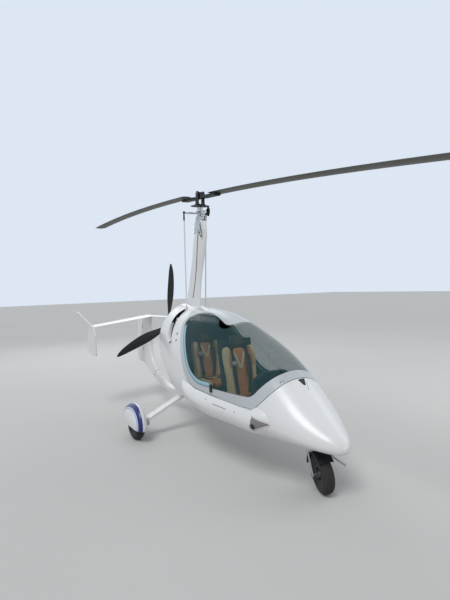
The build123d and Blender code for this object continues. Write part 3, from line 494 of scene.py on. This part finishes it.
def pad(name, outline, base, up, forward, depth, mats, zone=None, cap=0.012):
    """Stuffed pad over an outline (across, up) that stands off a plane by depth[0]..depth[1].

    The stuffing pushes it out by no more than cap; zone picks the leather at (across, up)."""
    verts = [base + Vector((across, 0, 0)) + up * rise + forward * level
             for level in depth for across, rise in outline]
    n = len(outline)
    faces = [tuple(range(n)), tuple(range(n, 2 * n))[::-1]]
    faces += [((i + 1) % n, i, i + n, (i + 1) % n + n) for i in range(n)]
    thing = outwards(make(name, verts, faces, mats))
    remesh = thing.modifiers.new("remesh", "REMESH")
    remesh.mode = "VOXEL"
    remesh.voxel_size = 0.009
    applied(thing)
    rest = [v.co.copy() for v in thing.data.vertices]
    last_frame = 20
    cloth = thing.modifiers.new("cloth", "CLOTH")
    cloth.settings.use_pressure = True
    cloth.settings.uniform_pressure_force = 4.0
    cloth.settings.effector_weights.gravity = 0.0
    cloth.settings.quality = 4
    cloth.point_cache.frame_start = 1
    cloth.point_cache.frame_end = last_frame
    for step in range(1, last_frame + 1):
        scene.frame_set(step)
    applied(thing)
    scene.frame_set(1)
    for v, place in zip(thing.data.vertices, rest):
        move = v.co - place
        if move.length > cap:
            v.co = place + move.normalized() * cap
    smooth = thing.modifiers.new("smooth", "SMOOTH")
    smooth.iterations = 6
    smooth.factor = 0.6
    fine = thing.modifiers.new("fine", "SUBSURF")
    fine.levels = 1
    applied(thing)
    thing.data.materials.clear()
    for mat in mats:
        thing.data.materials.append(mat)
    if zone:
        for poly in thing.data.polygons:
            offset = poly.center - base
            poly.material_index = zone(offset.x, offset.dot(up))
    thing.data.shade_smooth()
    return thing


def smooth_run(points, steps=6, closed=False):
    """Smooth curve through points (Catmull-Rom)."""
    points = [Vector(p) for p in points]
    if closed:
        points = points[-1:] + points + points[:2]
    else:
        points = [2 * points[0] - points[1]] + points + [2 * points[-1] - points[-2]]
    run = []
    for p0, p1, p2, p3 in zip(points, points[1:], points[2:], points[3:]):
        for k in range(steps):
            t = k / steps
            run.append(0.5 * ((2 * p1) + (p2 - p0) * t + (2 * p0 - 5 * p1 + 4 * p2 - p3) * t * t
                              + (3 * p1 - p0 - 3 * p2 + p3) * t ** 3))
    return run if closed else run + [points[-2]]


def mirrored(points, wide):
    """Rounded pad outline from one half of it; wide stretches it across."""
    return smooth_run([(-x * wide, v) for x, v in points]
                      + [(x * wide, v) for x, v in points[::-1]], 5, closed=True)


def one_sided(points, wide):
    """Rounded pad outline at one side of the seat; a negative wide puts it at starboard."""
    return smooth_run([(x * wide, v) for x, v in points], 5, closed=True)


def laid_on(things, points, direction, lift, spread=0.0):
    """Points dropped along a direction onto pieces; spread bridges a gap to either side."""
    tree = surface_of(things)
    direction = Vector(direction)
    back_off = 0.4
    result = []
    for point in points:
        depths = []
        for shift in (-spread, 0, spread):
            start = Vector(point) + Vector((shift, 0, 0)) - direction * back_off
            _, _, _, depth = tree.ray_cast(start, direction)
            if depth is not None:
                depths.append(depth)
        if depths:
            result.append(Vector(point) + direction * (min(depths) - back_off - lift))
    return result


def strap(name, points, facing, width, thick, mat):
    """Flat band along points that faces a direction."""
    facing = Vector(facing).normalized()
    # section as shares of the width and the thickness, with its upper edges broken
    section = ((-0.5, -0.5), (-0.5, 0.3), (-0.42, 0.5), (0.42, 0.5), (0.5, 0.3), (0.5, -0.5))
    verts = []
    count, n = len(points), len(section)
    for i, point in enumerate(points):
        along = (points[min(i + 1, count - 1)] - points[max(i - 1, 0)]).normalized()
        across = along.cross(facing).normalized()
        out = across.cross(along).normalized()
        if out.dot(facing) < 0:
            out = -out
        verts += [point + across * reach * width + out * level * thick for reach, level in section]
    faces = rings_joined(count, n)
    faces += [tuple(range(n))[::-1], tuple(range((count - 1) * n, count * n))]
    return outwards(make(name, verts, faces, [mat], smooth=False))


cabin_dark = finish("cabin_navy", (0.018, 0.024, 0.04), 0.75, vary=0.2, vary_scale=30, bump=0.4,
                    bump_scale=600)
tan = finish("tan_leather", (0.70, 0.28, 0.080), 0.5, vary=0.12, vary_scale=14, bump=0.6,
             bump_scale=420)
cream = finish("cream_leather", (0.88, 0.73, 0.42), 0.5, vary=0.08, vary_scale=14, bump=0.6,
               bump_scale=420)
brown = finish("dark_brown_leather", (0.08, 0.035, 0.02), 0.55, vary=0.15, vary_scale=14,
               bump=0.6, bump_scale=420)
webbing = finish("harness_webbing", (0.012, 0.013, 0.016), 0.75, vary=0.2, vary_scale=60,
                 bump=0.8, bump_scale=900)
steel = finish("steel", (0.42, 0.42, 0.43), 0.38, metal=1.0, vary=0.08, vary_scale=20, bump=0.08,
               bump_scale=500)
dress(cabin_dark, "cabin_floor", "firewall", "front_seat_shell", "rear_seat_shell")
# the pads are drawn for a seat of this half width and length of back
drawn_half, drawn_length = 0.2, 0.6976
pan_gap = 0.080
pan_up, pan_forward = Vector((0, -1, 0)), Vector((0, 0, 1))
webbing_width, webbing_thick, webbing_lift, seam_spread = 0.038, 0.003, 0.003, 0.018
# columns: name, pan front (y), pan back (y), pan height (z), top of the back (y, z), half width
seat_table = (("front", -1.260, -0.800, 0.500, (-0.668, 1.185), 0.200),
              ("rear", -0.440, -0.030, 0.590, (0.078, 1.150), 0.190))
for name, pan_front, pan_back, pan_height, back_top, half in seat_table:
    rise = Vector((0, back_top[0] - pan_back, back_top[1] - pan_height))
    up = rise.normalized()
    forward = Vector((0, -up.z, up.y))
    base = Vector((0, pan_back, pan_height))
    wide = half / drawn_half
    tall = rise.length / drawn_length
    centre = pad(f"{name}_back_centre",
                 mirrored([(0.098, 0.05), (0.094, 0.30 * tall), (0.088, 0.50 * tall),
                           (0.060, 0.565 * tall)], wide),
                 base, up, forward, (0.004, 0.052), [tan], cap=0.010)
    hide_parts(f"{name}_back_cushion")

    def wing_zone(x, v):
        """Cream along the wing's outer edge, wider at the shoulder."""
        edge = 0.150 * wide - 0.030 * wide * max(0.0, (v / tall - 0.40) / 0.16) ** 2
        if v < 0.36 * tall:
            edge = 0.128 * wide
        return 0 if abs(x) > edge else 1

    wing_half = [(0.103, 0.03), (0.108, 0.28 * tall), (0.104, 0.44 * tall), (0.112, 0.545 * tall),
                 (0.140, 0.580 * tall), (0.172, 0.560 * tall), (0.186, 0.48 * tall),
                 (0.176, 0.36 * tall), (0.168, 0.24 * tall), (0.184, 0.10), (0.190, 0.03)]
    wings = []
    for side, tag in both_sides:
        wing = pad(f"{name}_back_wing_{tag}", one_sided(wing_half, side * wide), base, up,
                   forward, (0.004, 0.088), [cream, tan], zone=wing_zone)
        wings.append(wing)
    head = pad(f"{name}_head_pad",
               mirrored([(0.078, 0.575 * tall), (0.084, 0.64 * tall), (0.066, 0.694 * tall)],
                        wide),
               base, up, forward, (0.006, 0.058), [brown], cap=0.010)
    # seat cushion: centre panel with a cream crescent at its rear, and cream side rolls
    deep = pan_back - pan_gap - pan_front
    sit_base = Vector((0, pan_back - pan_gap, pan_height))

    def sit_zone(x, v):
        """Cream crescent at the rear of the cushion."""
        return 0 if v < 0.075 - 1.6 * x * x / wide else 1

    sit = pad(f"{name}_sit_centre",
              mirrored([(0.112, 0.006), (0.118, 0.2), (0.110, deep - 0.02),
                        (0.070, deep + 0.004)], wide),
              sit_base, pan_up, pan_forward, (0.003, 0.052), [cream, tan], zone=sit_zone)
    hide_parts(f"{name}_seat_cushion")

    def roll_zone(x, v):
        """Cream side roll with a tan inner edge."""
        return 0 if abs(x) > 0.15 * wide else 1

    roll_half = [(0.124, 0.006), (0.126, 0.2), (0.120, deep - 0.03), (0.145, deep - 0.004),
                 (0.176, deep - 0.03), (0.188, 0.2), (0.188, 0.006)]
    rolls = []
    for side, tag in both_sides:
        roll = pad(f"{name}_sit_roll_{tag}", one_sided(roll_half, side * wide), sit_base, pan_up,
                   pan_forward, (0.003, 0.074), [cream, tan], zone=roll_zone)
        rolls.append(roll)
    # cream V on the centre panel, two flat strips that meet in a point
    for side, tag in both_sides:
        run = [base + Vector((side * x * wide, 0, 0)) + up * (v * tall) for x, v in
               ((0.072, 0.548), (0.060, 0.51), (0.046, 0.47), (0.032, 0.43), (0.018, 0.39),
                (0.006, 0.35))]
        strip = strap(f"{name}_chevron_{tag}", laid_on([centre], run, -forward, 0.0015), forward,
                      0.026, 0.006, cream)
    # harness: a shoulder strap beside each edge of the centre panel, a lap strap, a buckle
    for side, tag in both_sides:
        run = [base + Vector((side * x * wide, 0, 0)) + up * (v * tall) for x, v in
               ((0.070, 0.66), (0.078, 0.60), (0.088, 0.54), (0.094, 0.46), (0.096, 0.38),
                (0.094, 0.30), (0.088, 0.22), (0.078, 0.14), (0.066, 0.09))]
        strap(f"{name}_shoulder_strap_{tag}",
              laid_on([centre, head] + wings, run, -forward, webbing_lift, seam_spread), forward,
              webbing_width, webbing_thick, webbing)
        lap = [sit_base + Vector((side * x * wide, 0, 0)) + pan_up * v for x, v in
               ((0.165, 0.015), (0.135, 0.045), (0.100, 0.075), (0.065, 0.100), (0.030, 0.120))]
        strap(f"{name}_lap_strap_{tag}",
              laid_on([sit] + rolls, lap, -pan_forward, webbing_lift, seam_spread), pan_forward,
              webbing_width, webbing_thick, webbing)
    beside = base + Vector((-0.096 * wide, 0, 0)) + up * (0.40 * tall)
    lock = laid_on([centre] + wings, [beside], -forward, 0.006, seam_spread)[0]
    turned(f"{name}_buckle", lock, forward, [(-0.004, 0.020), (0.002, 0.027), (0.008, 0.027),
                                             (0.011, 0.023), (0.011, 0.010), (0.008, 0.008)],
           steel, steps=28)


# Panel and sticks: five round dials with raised bezels and a screen on the dark panel.
# Dials are plain black satin without marks; the sticks are bent tube with a foam grip.
def at(centre, axis, across=None):
    """Matrix that puts local Z along an axis, with local X as near as it goes to a direction."""
    z = Vector(axis).normalized()
    x = Vector(across) if across else z.orthogonal()
    x = (x - z * x.dot(z)).normalized()
    y = z.cross(x)
    return Matrix(((x.x, y.x, z.x, centre[0]), (x.y, y.y, z.y, centre[1]),
                   (x.z, y.z, z.z, centre[2]), (0, 0, 0, 1)))


def repeater(ring):
    """Geometry Nodes that repeat one small prism round a ring or along a row."""
    group = bpy.data.node_groups.new("ring_repeat" if ring else "row_repeat", "GeometryNodeTree")
    face = group.interface
    face.new_socket("Geometry", in_out="OUTPUT", socket_type="NodeSocketGeometry")
    for title, kind in (("Count", "Int"), ("Span", "Float"), ("Size", "Vector"),
                        ("Sides", "Int"), ("Material", "Material")):
        face.new_socket(title, in_out="INPUT", socket_type=f"NodeSocket{kind}")
    new, link = group.nodes.new, group.links.new
    given = new("NodeGroupInput")
    result = new("NodeGroupOutput")
    if ring:
        points = new("GeometryNodeMeshCircle")
        link(given.outputs["Count"], points.inputs["Vertices"])
        link(given.outputs["Span"], points.inputs["Radius"])
    else:
        points = new("GeometryNodeMeshLine")
        points.mode = "END_POINTS"
        end = new("ShaderNodeCombineXYZ")
        link(given.outputs["Span"], end.inputs["X"])
        link(given.outputs["Count"], points.inputs["Count"])
        link(end.outputs[0], points.inputs["Offset"])
    form = new("GeometryNodeMeshCylinder")
    link(given.outputs["Sides"], form.inputs["Vertices"])
    form.inputs["Radius"].default_value = 0.5
    form.inputs["Depth"].default_value = 1.0
    spots = new("GeometryNodeInstanceOnPoints")
    link(points.outputs["Mesh"], spots.inputs["Points"])
    link(form.outputs["Mesh"], spots.inputs["Instance"])
    link(given.outputs["Size"], spots.inputs["Scale"])
    if ring:
        turn = new("FunctionNodeAlignRotationToVector")
        turn.axis = "X"
        turn.pivot_axis = "Z"
        spot = new("GeometryNodeInputPosition")
        link(spot.outputs[0], turn.inputs["Vector"])
        link(turn.outputs[0], spots.inputs["Rotation"])
    real = new("GeometryNodeRealizeInstances")
    paint = new("GeometryNodeSetMaterial")
    link(spots.outputs["Instances"], real.inputs["Geometry"])
    link(real.outputs["Geometry"], paint.inputs["Geometry"])
    link(given.outputs["Material"], paint.inputs["Material"])
    link(paint.outputs["Geometry"], result.inputs["Geometry"])
    return group


def repeat(name, group, place, count, span, size, sides, mat, body="airframe", bevel=0.0):
    """One piece of many small prisms; place is the matrix of the ring or row."""
    mesh = bpy.data.meshes.new(name)
    mesh.from_pydata([(0, 0, 0)], [], [])
    thing = bpy.data.objects.new(name, mesh)
    scene.collection.objects.link(thing)
    mod = thing.modifiers.new("repeat", "NODES")
    mod.node_group = group
    values = {"Count": count, "Span": span, "Size": size, "Sides": sides, "Material": mat}
    for item in group.interface.items_tree:
        if item.in_out == "INPUT" and item.name in values:
            mod[item.identifier] = values[item.name]
    if bevel:
        edge = thing.modifiers.new("edge", "BEVEL")
        edge.width = bevel
        edge.segments = 2
        edge.limit_method = "ANGLE"
    applied(thing)
    thing.data.transform(place)
    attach(thing, body)
    return thing


row_group = repeater(False)
black_satin = finish("black_satin", (0.011, 0.011, 0.012), 0.48, vary=0.15, bump=0.15,
                     bump_scale=400)
black_satin.node_tree.nodes["Principled BSDF"].inputs["Specular IOR Level"].default_value = 0.28
dress(cabin_dark, "instrument_panel")
panel_face = surface_of([nodes["instrument_panel"]])
pilot_y = -1.1
# columns: x, z, radius
dials = ((-0.135, 0.815, 0.040), (0.0, 0.825, 0.040), (0.135, 0.815, 0.040),
         (-0.150, 0.715, 0.029), (0.150, 0.715, 0.029))
for index, (x, z, radius) in enumerate(dials):
    hit, _, _, _ = panel_face.ray_cast(Vector((x, pilot_y, z)), Vector((0, -1, 0)))
    if hit is None:
        continue
    turned(f"dial_{index}", hit, (0, 1, 0), [(-0.003, radius * 0.9), (-0.003, radius),
                                             (0.004, radius), (0.006, radius * 0.95),
                                             (0.006, radius * 0.88), (0.002, radius * 0.84),
                                             (0.002, 0.002)], black_satin)
hit, _, _, _ = panel_face.ray_cast(Vector((0, pilot_y, 0.70)), Vector((0, -1, 0)))
repeat("panel_screen", row_group, at(hit + Vector((-0.0001, 0.002, 0)), (0, 1, 0), (1, 0, 0)), 1,
       0.0, (0.150, 0.110, 0.012), 4, black_satin, bevel=0.003)
sticks = (("front", ((0, -1.295, 0.400), (0, -1.295, 0.56), (0, -1.270, 0.66), (0, -1.240, 0.735))),
          ("rear", ((0, -0.490, 0.400), (0, -0.490, 0.63), (0, -0.468, 0.73), (0, -0.440, 0.800))))
for name, stick in sticks:
    run = smooth_run(stick)
    tube(f"{name}_stick", run, 0.010, dark_steel, sides=14)
    tube(f"{name}_stick_grip", run[-7:], 0.0175, black_matte, sides=18)

# Engine bay: cast engine block and gearbox with finned cylinders, leads, hoses and silencer.
# Castings, rubber hose and heat-stained steel, seen from behind below the propeller.
cast = finish("engine_cast", (0.13, 0.13, 0.135), 0.55, metal=0.6, vary=0.2, vary_scale=25,
              bump=0.3, bump_scale=250)
heat_steel = finish("exhaust_heat", (0.30, 0.24, 0.19), 0.42, metal=1.0, vary=0.3, vary_scale=14,
                    bump=0.1, bump_scale=300)
rubber = finish("tyre_rubber_worn", (0.028, 0.027, 0.026), 0.82, vary=0.25, vary_scale=12,
                bump=0.5, bump_scale=350)
ring_group = repeater(True)
dress(cast, "engine_block", "gearbox")
dress(heat_steel, "exhaust")
# a cylinder's profile: seven fins between its foot and its head
root, edge, pitch = 0.040, 0.054, 0.010
fins = [(0.0, root)]
for k in range(7):
    low, high = 0.006 + k * pitch, 0.010 + k * pitch
    fins += [(low, root), (low, edge), (high, edge), (high, root)]
fins += [(0.078, 0.046), (0.092, 0.042), (0.094, 0.012)]
for side, tag in both_sides:
    for number, along in enumerate((0.36, 0.58)):
        turned(f"cylinder_{tag}_{number}", (side * 0.158, along, 1.02), (side, 0, 0), fins, cast,
               steps=28)
        tube(f"ignition_lead_{tag}_{number}",
             smooth_run([(side * 0.235, along, 1.055), (side * 0.232, along, 1.12),
                         (side * 0.19, along + 0.02, 1.20), (side * 0.12, along + 0.05, 1.27)]),
             0.005, black_satin)
    tube(f"coolant_hose_{tag}",
         smooth_run([(side * 0.11, 0.775, 1.10), (side * 0.112, 0.82, 1.10),
                     (side * 0.125, 0.86, 1.07), (side * 0.135, 0.862, 0.99),
                     (side * 0.125, 0.83, 0.95), (side * 0.115, 0.775, 0.945)]),
         0.017, rubber, sides=14)
    for spot, level in (("top", 1.10), ("low", 0.945)):
        tube(f"hose_clip_{tag}_{spot}", [(side * 0.1115, 0.785, level),
                                         (side * 0.1115, 0.795, level)], 0.0185, steel, sides=20)
turned("starter_motor", (-0.045, 0.778, 1.04), (0, 1, 0),
       [(0, 0.030), (0.004, 0.034), (0.090, 0.034), (0.096, 0.028), (0.104, 0.026),
        (0.106, 0.006)], dark_steel, steps=28)
repeat("gearbox_bolts", ring_group, at((0, 1.0765, 1.205), (0, 1, 0)), 8, 0.0655,
       (0.009, 0.009, 0.008), 6, steel, bevel=0.0006)

# Propeller: three black composite blades clamped in a hub of the same colour.
# Six steel bolts hold the hub to the gearbox flange.
dress(black_satin, "propeller_hub", "propeller_blades")
repeat("propeller_bolts", ring_group, at((0, 1.0985, 1.205), (0, 1, 0)), 6, 0.050,
       (0.015, 0.015, 0.012), 6, steel, "propeller", bevel=0.0008)

# Mast: a white fairing on a steel foot, with a thin black cable taped down its side.
# The slack of the cable is gathered in a loop below the mast head.
dress(white, "mast")
dress(dark_steel, "mast_foot")
tube("mast_cable_loop",
     smooth_run([(-0.038, -0.03, 2.44), (-0.050, -0.075, 2.40), (-0.050, -0.10, 2.34),
                 (-0.044, -0.085, 2.29), (-0.040, -0.045, 2.31), (-0.042, -0.03, 2.37)],
                closed=True), 0.004, black_satin, closed=True)
mast_skin = surface_of([nodes["mast"]])
cable_lift = 0.0025
cable_run = []
for along, height in ((-0.010, 2.38), (0.012, 2.28), (0.055, 2.10), (0.090, 1.96),
                      (0.130, 1.82), (0.165, 1.70), (0.200, 1.58)):
    hit, normal, _, _ = mast_skin.ray_cast(Vector((-0.5, along, height)), Vector((1, 0, 0)))
    if hit is not None:
        cable_run.append(hit + normal * cable_lift)
tube("mast_cable", smooth_run(cable_run), 0.0035, black_matte)

# Rotor head: bright alloy mast head, gimbal block and head beam, with a black tower on top.
# The toothed disc below the tower is spun up by the starter's pinion; push rods tilt the head.
alloy = finish("alloy", (0.55, 0.56, 0.58), 0.35, metal=1.0, vary=0.06, vary_scale=15,
               bump=0.08, bump_scale=500)
dress(alloy, "mast_head", "gimbal_block", "head_beam")
dress(black_satin, "rotor_tower", "hub_bar")
dress(white, "push_rods")
tilt = math.radians(4.8)
spin = Vector((0, -math.sin(tilt), math.cos(tilt)))
span = Vector((0, math.cos(tilt), math.sin(tilt)))
hub = Vector((0, 0, 2.805))
repeat("gear_teeth", ring_group, at(hub - spin * 0.1455, spin), 72, 0.1065,
       (0.0065, 0.0045, 0.009), 4, dark_steel, "rotor_spindle")
repeat("disc_bolts", ring_group, at(hub - spin * 0.121, spin, (1, 1, 0)), 4, 0.036,
       (0.013, 0.013, 0.010), 6, steel, "rotor_spindle", bevel=0.0008)
for side, tag in both_sides:
    turned(f"teeter_nut_{tag}", hub + Vector((side * 0.0445, 0, 0)), (side, 0, 0),
           [(0, 0.019), (0.0015, 0.0195), (0.003, 0.0195), (0.004, 0.016), (0.011, 0.016),
            (0.0125, 0.0135), (0.0125, 0.009), (0.018, 0.0085), (0.018, 0.0)], steel,
           "rotor_spindle", steps=6)
pinion_at = hub - spin * 0.146 + Vector((0.121, 0.02, 0))
turned("starter_pinion", pinion_at, spin,
       [(-0.012, 0.0), (-0.012, 0.012), (0.010, 0.012), (0.010, 0.006), (0.016, 0.006),
        (0.016, 0)], dark_steel, "rotor_head", steps=20)
turned("starter_drive", pinion_at - spin * 0.014, -spin,
       [(0, 0), (0, 0.018), (0.004, 0.021), (0.060, 0.021), (0.066, 0.016), (0.090, 0.014),
        (0.092, 0)], black_satin, "rotor_head", steps=28)
beam_height = 2.598
tube("starter_bracket", [pinion_at - spin * 0.040,
                         pinion_at - spin * 0.044 + Vector((-0.05, -0.01, -0.004)),
                         Vector((0.042, 0, beam_height))], 0.009, dark_steel, "rotor_head",
     sides=12, squash=0.6)
arm_y = 0.150
for side, tag in both_sides:
    tube(f"arm_sleeve_{tag}", [(side * 0.07, arm_y, beam_height),
                               (side * 0.128, arm_y, beam_height)], 0.0125, white, "rotor_head",
         sides=18)
    turned(f"rod_joint_{tag}", (side * 0.148, arm_y, beam_height), (side, 0, 0),
           [(-0.0085, 0), (-0.0085, 0.011), (-0.006, 0.0185), (0.006, 0.0185), (0.0085, 0.011),
            (0.0085, 0.006), (0.013, 0.006), (0.013, 0)], black_satin, "control_rods", steps=24)
    tube(f"rod_shank_{tag}", [(side * 0.1478, 0.1505, 2.578), (side * 0.1465, 0.1535, 2.505)],
         0.0095, black_satin, "control_rods", sides=12)

# Rotor blades: grey painted aluminium, bolted through a steel plate to the black hub bar.
# Each blade root has a row of six bolts on either side of its middle.
blade_paint = finish("rotor_blade_grey", (0.075, 0.078, 0.065), 0.5, metal=0.2, vary=0.18,
                     vary_scale=2.5, bump=0.06, bump_scale=150)
dress(blade_paint, "rotor_blade_front", "rotor_blade_rear")
plate = [(-0.034, 0.285), (-0.034, 0.44), (-0.022, 0.475), (0.022, 0.475), (0.034, 0.44),
         (0.034, 0.285)]
for end, tag in ((-1, "front"), (1, "rear")):
    for side, side_tag in both_sides:
        row_start = hub - spin * 0.0335 + Vector((side * 0.018, 0, 0)) + span * end * 0.305
        repeat(f"blade_bolts_{tag}_{side_tag}", row_group, at(row_start, spin, span * end), 6,
               0.105, (0.014, 0.014, 0.016), 6, steel, "rotor", bevel=0.0008)
    verts = [hub + spin * level + span * end * out + Vector((x, 0, 0))
             for level in (-0.0335, -0.0305) for x, out in plate]
    n = len(plate)
    faces = [tuple(range(n)), tuple(range(n, 2 * n))[::-1]] + rings_joined(2, n)
    outwards(make(f"blade_plate_{tag}", verts, faces, [dark_steel], "rotor", smooth=False))


# Tail: white mouldings; the boom sweeps down from the hull and up into the fin.
# A thin black ring round the neck of the boom is a painted shadow line, where the pod's shadow edge
# crosses it.
def plane_bead(name, node, point, normal, radius, mat):
    """Thin bead round a node where a plane cuts it."""
    merge, least_step, most_spots = 0.00001, 0.002, 4000
    bm = bmesh.new()
    bm.from_mesh(nodes[node].data)
    bmesh.ops.remove_doubles(bm, verts=bm.verts, dist=merge)
    cut = bmesh.ops.bisect_plane(bm, geom=bm.verts[:] + bm.edges[:] + bm.faces[:],
                                 plane_co=point, plane_no=normal)
    linked = {}
    for edge in cut["geom_cut"]:
        if isinstance(edge, bmesh.types.BMEdge):
            a, b = edge.verts
            linked.setdefault(a, []).append(b)
            linked.setdefault(b, []).append(a)
    start = max(linked, key=lambda v: (round(v.co.x, 6), round(v.co.z, 6)))
    walk, last = [start], None
    while True:
        ahead = [v for v in linked[walk[-1]] if v is not last and v is not walk[-1]]
        if not ahead or ahead[0] is start or len(walk) > most_spots:
            break
        last = walk[-1]
        walk.append(ahead[0])
    run = [walk[0].co.copy()]
    for v in walk[1:]:
        if (v.co - run[-1]).length > least_step:
            run.append(v.co.copy())
    bm.free()
    return tube(name, run, radius, mat, closed=True)


dress(white, "tail_boom", "stabiliser", "tail_plate_port", "tail_plate_starboard", "rudder")
dress(steel, "rudder_hinges")
# painted shadow: a black ring where the pod's shadow edge falls across the boom
plane_bead("boom_shadow_line", "tail_boom", (0, 1.545, 0.49), (0, 0.80, 0.60), 0.0022, black_matte)


# Main gear: white faired legs, steel axles, and white wheel spats with blue stripes.
# The stripes are the same on both sides of a spat, and dust lies on its lower edge.
def striped(mat, centre, bands):
    """Stripes at set distances outboard of a wheel's middle plane."""
    new, link = mat.node_tree.nodes.new, mat.node_tree.links.new
    split = new("ShaderNodeSeparateXYZ")
    out = new("ShaderNodeMath")
    out.operation = "ABSOLUTE"
    link(mat.node_tree.nodes["place"].outputs["Object"], split.inputs[0])
    link(split.outputs["X"], out.inputs[0])
    for low, high, color in bands:
        band = new("ShaderNodeMath")
        band.operation = "COMPARE"
        band.inputs[1].default_value = centre + (low + high) / 2
        band.inputs[2].default_value = (high - low) / 2
        link(out.outputs[0], band.inputs[0])
        laid_over(mat, band.outputs[0], color)
    return mat


track_half = 0.817
dark_blue, pale_blue = (0.008, 0.014, 0.16), (0.36, 0.52, 0.72)
spat_paint = striped(gelcoat("spat_gelcoat", 0.02, 0.25, most=0.6, vary_scale=3.0), track_half,
                     ((0.008, 0.050, dark_blue), (0.053, 0.060, pale_blue)))
dress(spat_paint, "spat_port", "spat_starboard")
dress(white, "gear_leg_port", "gear_leg_starboard")
dress(steel, "main_axle_port", "main_axle_starboard")

# Nose gear: a steel fork in a bearing under the nose, with a black plastic mudguard.
# The pitot tube is bent steel and points forward beside it.
dress(steel, "nose_fork", "pitot_tube")
dress(dark_steel, "steering_bearing")
dress(black_satin, "nose_mudguard")


# Wheels: road tyres with four grooves round the crown, on dark bolted rims with a valve.
# Each tyre takes the place of the plain one; the bolts are on both faces of the rim.
def grooved_tyre(node, centre, axle, radius, width, rim_radius, body):
    """Tyre of rounded section whose crown is cut by four grooves."""
    half = width / 2
    flank = rim_radius + (radius - half * 0.78 - rim_radius) * 0.6
    bend = [(-half * 0.7, rim_radius), (-half, flank)]
    # the crown is the circle through the flank, the shoulder and the crown's middle
    ax, ay, bx, by, cx, cy = -half, flank, -half * 0.72, radius - half * 0.24, 0.0, radius
    a2, b2, c2 = ax * ax + ay * ay, bx * bx + by * by, cx * cx + cy * cy
    d = 2 * (ax * (by - cy) + bx * (cy - ay) + cx * (ay - by))
    ux = (a2 * (by - cy) + b2 * (cy - ay) + c2 * (ay - by)) / d
    uy = (a2 * (cx - bx) + b2 * (ax - cx) + c2 * (bx - ax)) / d
    arc = math.hypot(cx - ux, cy - uy)
    a0, a1 = math.atan2(ay - uy, ax - ux), math.atan2(cy - uy, cx - ux)
    if a0 < 0:
        a0 += 2 * math.pi
    groove_half, groove_depth = 0.0026, 0.0032
    grooves = (half * 0.16, half * 0.50)
    steps = 60
    crown = []
    for k in range(1, steps + 1):
        a = a0 + (a1 - a0) * k / steps
        x, r = ux + arc * math.cos(a), uy + arc * math.sin(a)
        if any(abs(abs(x) - g) < groove_half for g in grooves):
            r -= groove_depth
        crown.append((x, r))
    profile = bend + crown + [(-x, r) for x, r in crown[-2::-1]]
    profile += [(half, flank), (half * 0.7, rim_radius)]
    thing = turned(f"{node}_tread", centre, axle, profile, rubber, body, steps=72, ring=True)
    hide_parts(node)


dress(dark_steel, "main_port_rim", "main_starboard_rim", "nose_rim")
dress(rubber, "nose_tyre", "main_port_tyre", "main_starboard_tyre")
fork_lean, fork_turn = math.radians(18.0), math.radians(20.0)
steer_axis = Vector((0, math.sin(fork_lean), math.cos(fork_lean)))
nose_axle = Matrix.Rotation(-fork_turn, 3, steer_axis) @ Vector((1, 0, 0))
nose_tyre = nodes["nose_tyre"]
nose_spots = [nose_tyre.matrix_world @ v.co for v in nose_tyre.data.vertices]
nose_centre = Vector([(min(p[i] for p in nose_spots) + max(p[i] for p in nose_spots)) / 2
                      for i in range(3)])
# columns: label, centre, axle, tyre radius, tyre width, rim radius, body
wheels = (("main_port", (track_half, 0.187, 0.180), (1, 0, 0), 0.180, 0.112, 0.078,
           "port_wheel"),
          ("main_starboard", (-track_half, 0.187, 0.180), (1, 0, 0), 0.180, 0.112, 0.078,
           "starboard_wheel"),
          ("nose", nose_centre, nose_axle, 0.165, 0.100, 0.068, "nose_wheel"))
# as shares of the rim's radius
bolt_circle, valve_circle = 0.62, 0.74
for label, centre, axle, radius, width, rim_radius, body in wheels:
    centre, axle = Vector(centre), Vector(axle)
    grooved_tyre(f"{label}_tyre", centre, axle, radius, width, rim_radius, body)
    for face, tag in ((-1, "in"), (1, "out")):
        spot = centre + axle * face * (width * 0.10 + 0.002)
        repeat(f"{label}_rim_bolts_{tag}", ring_group, at(spot, axle * face), 6,
               rim_radius * bolt_circle, (0.011, 0.011, 0.010), 6, steel, body, bevel=0.0006)
    from_axle = at(centre, axle).to_3x3() @ Vector((0, rim_radius * valve_circle, 0))
    stem = centre + axle * (width * 0.12) + from_axle
    tube(f"{label}_valve", [stem, stem + axle * 0.012, stem + axle * 0.026], 0.0035, black_satin,
         body)

# Floor: a plain pale sheet that runs to the horizon, for the shadows to fall on.
# It lies a millimetre low, clear of the tyres.
reach, sunk = 60.0, -0.001
floor_mesh = bpy.data.meshes.new("floor")
floor_mesh.from_pydata([(-reach, -reach, sunk), (reach, -reach, sunk), (reach, reach, sunk),
                        (-reach, reach, sunk)], [], [(0, 1, 2, 3)])
floor_mesh.materials.append(finish("floor_pale", (0.62, 0.62, 0.61), 0.9, vary=0.02,
                                   vary_scale=0.4))
floor = bpy.data.objects.new("floor", floor_mesh)
scene.collection.objects.link(floor)
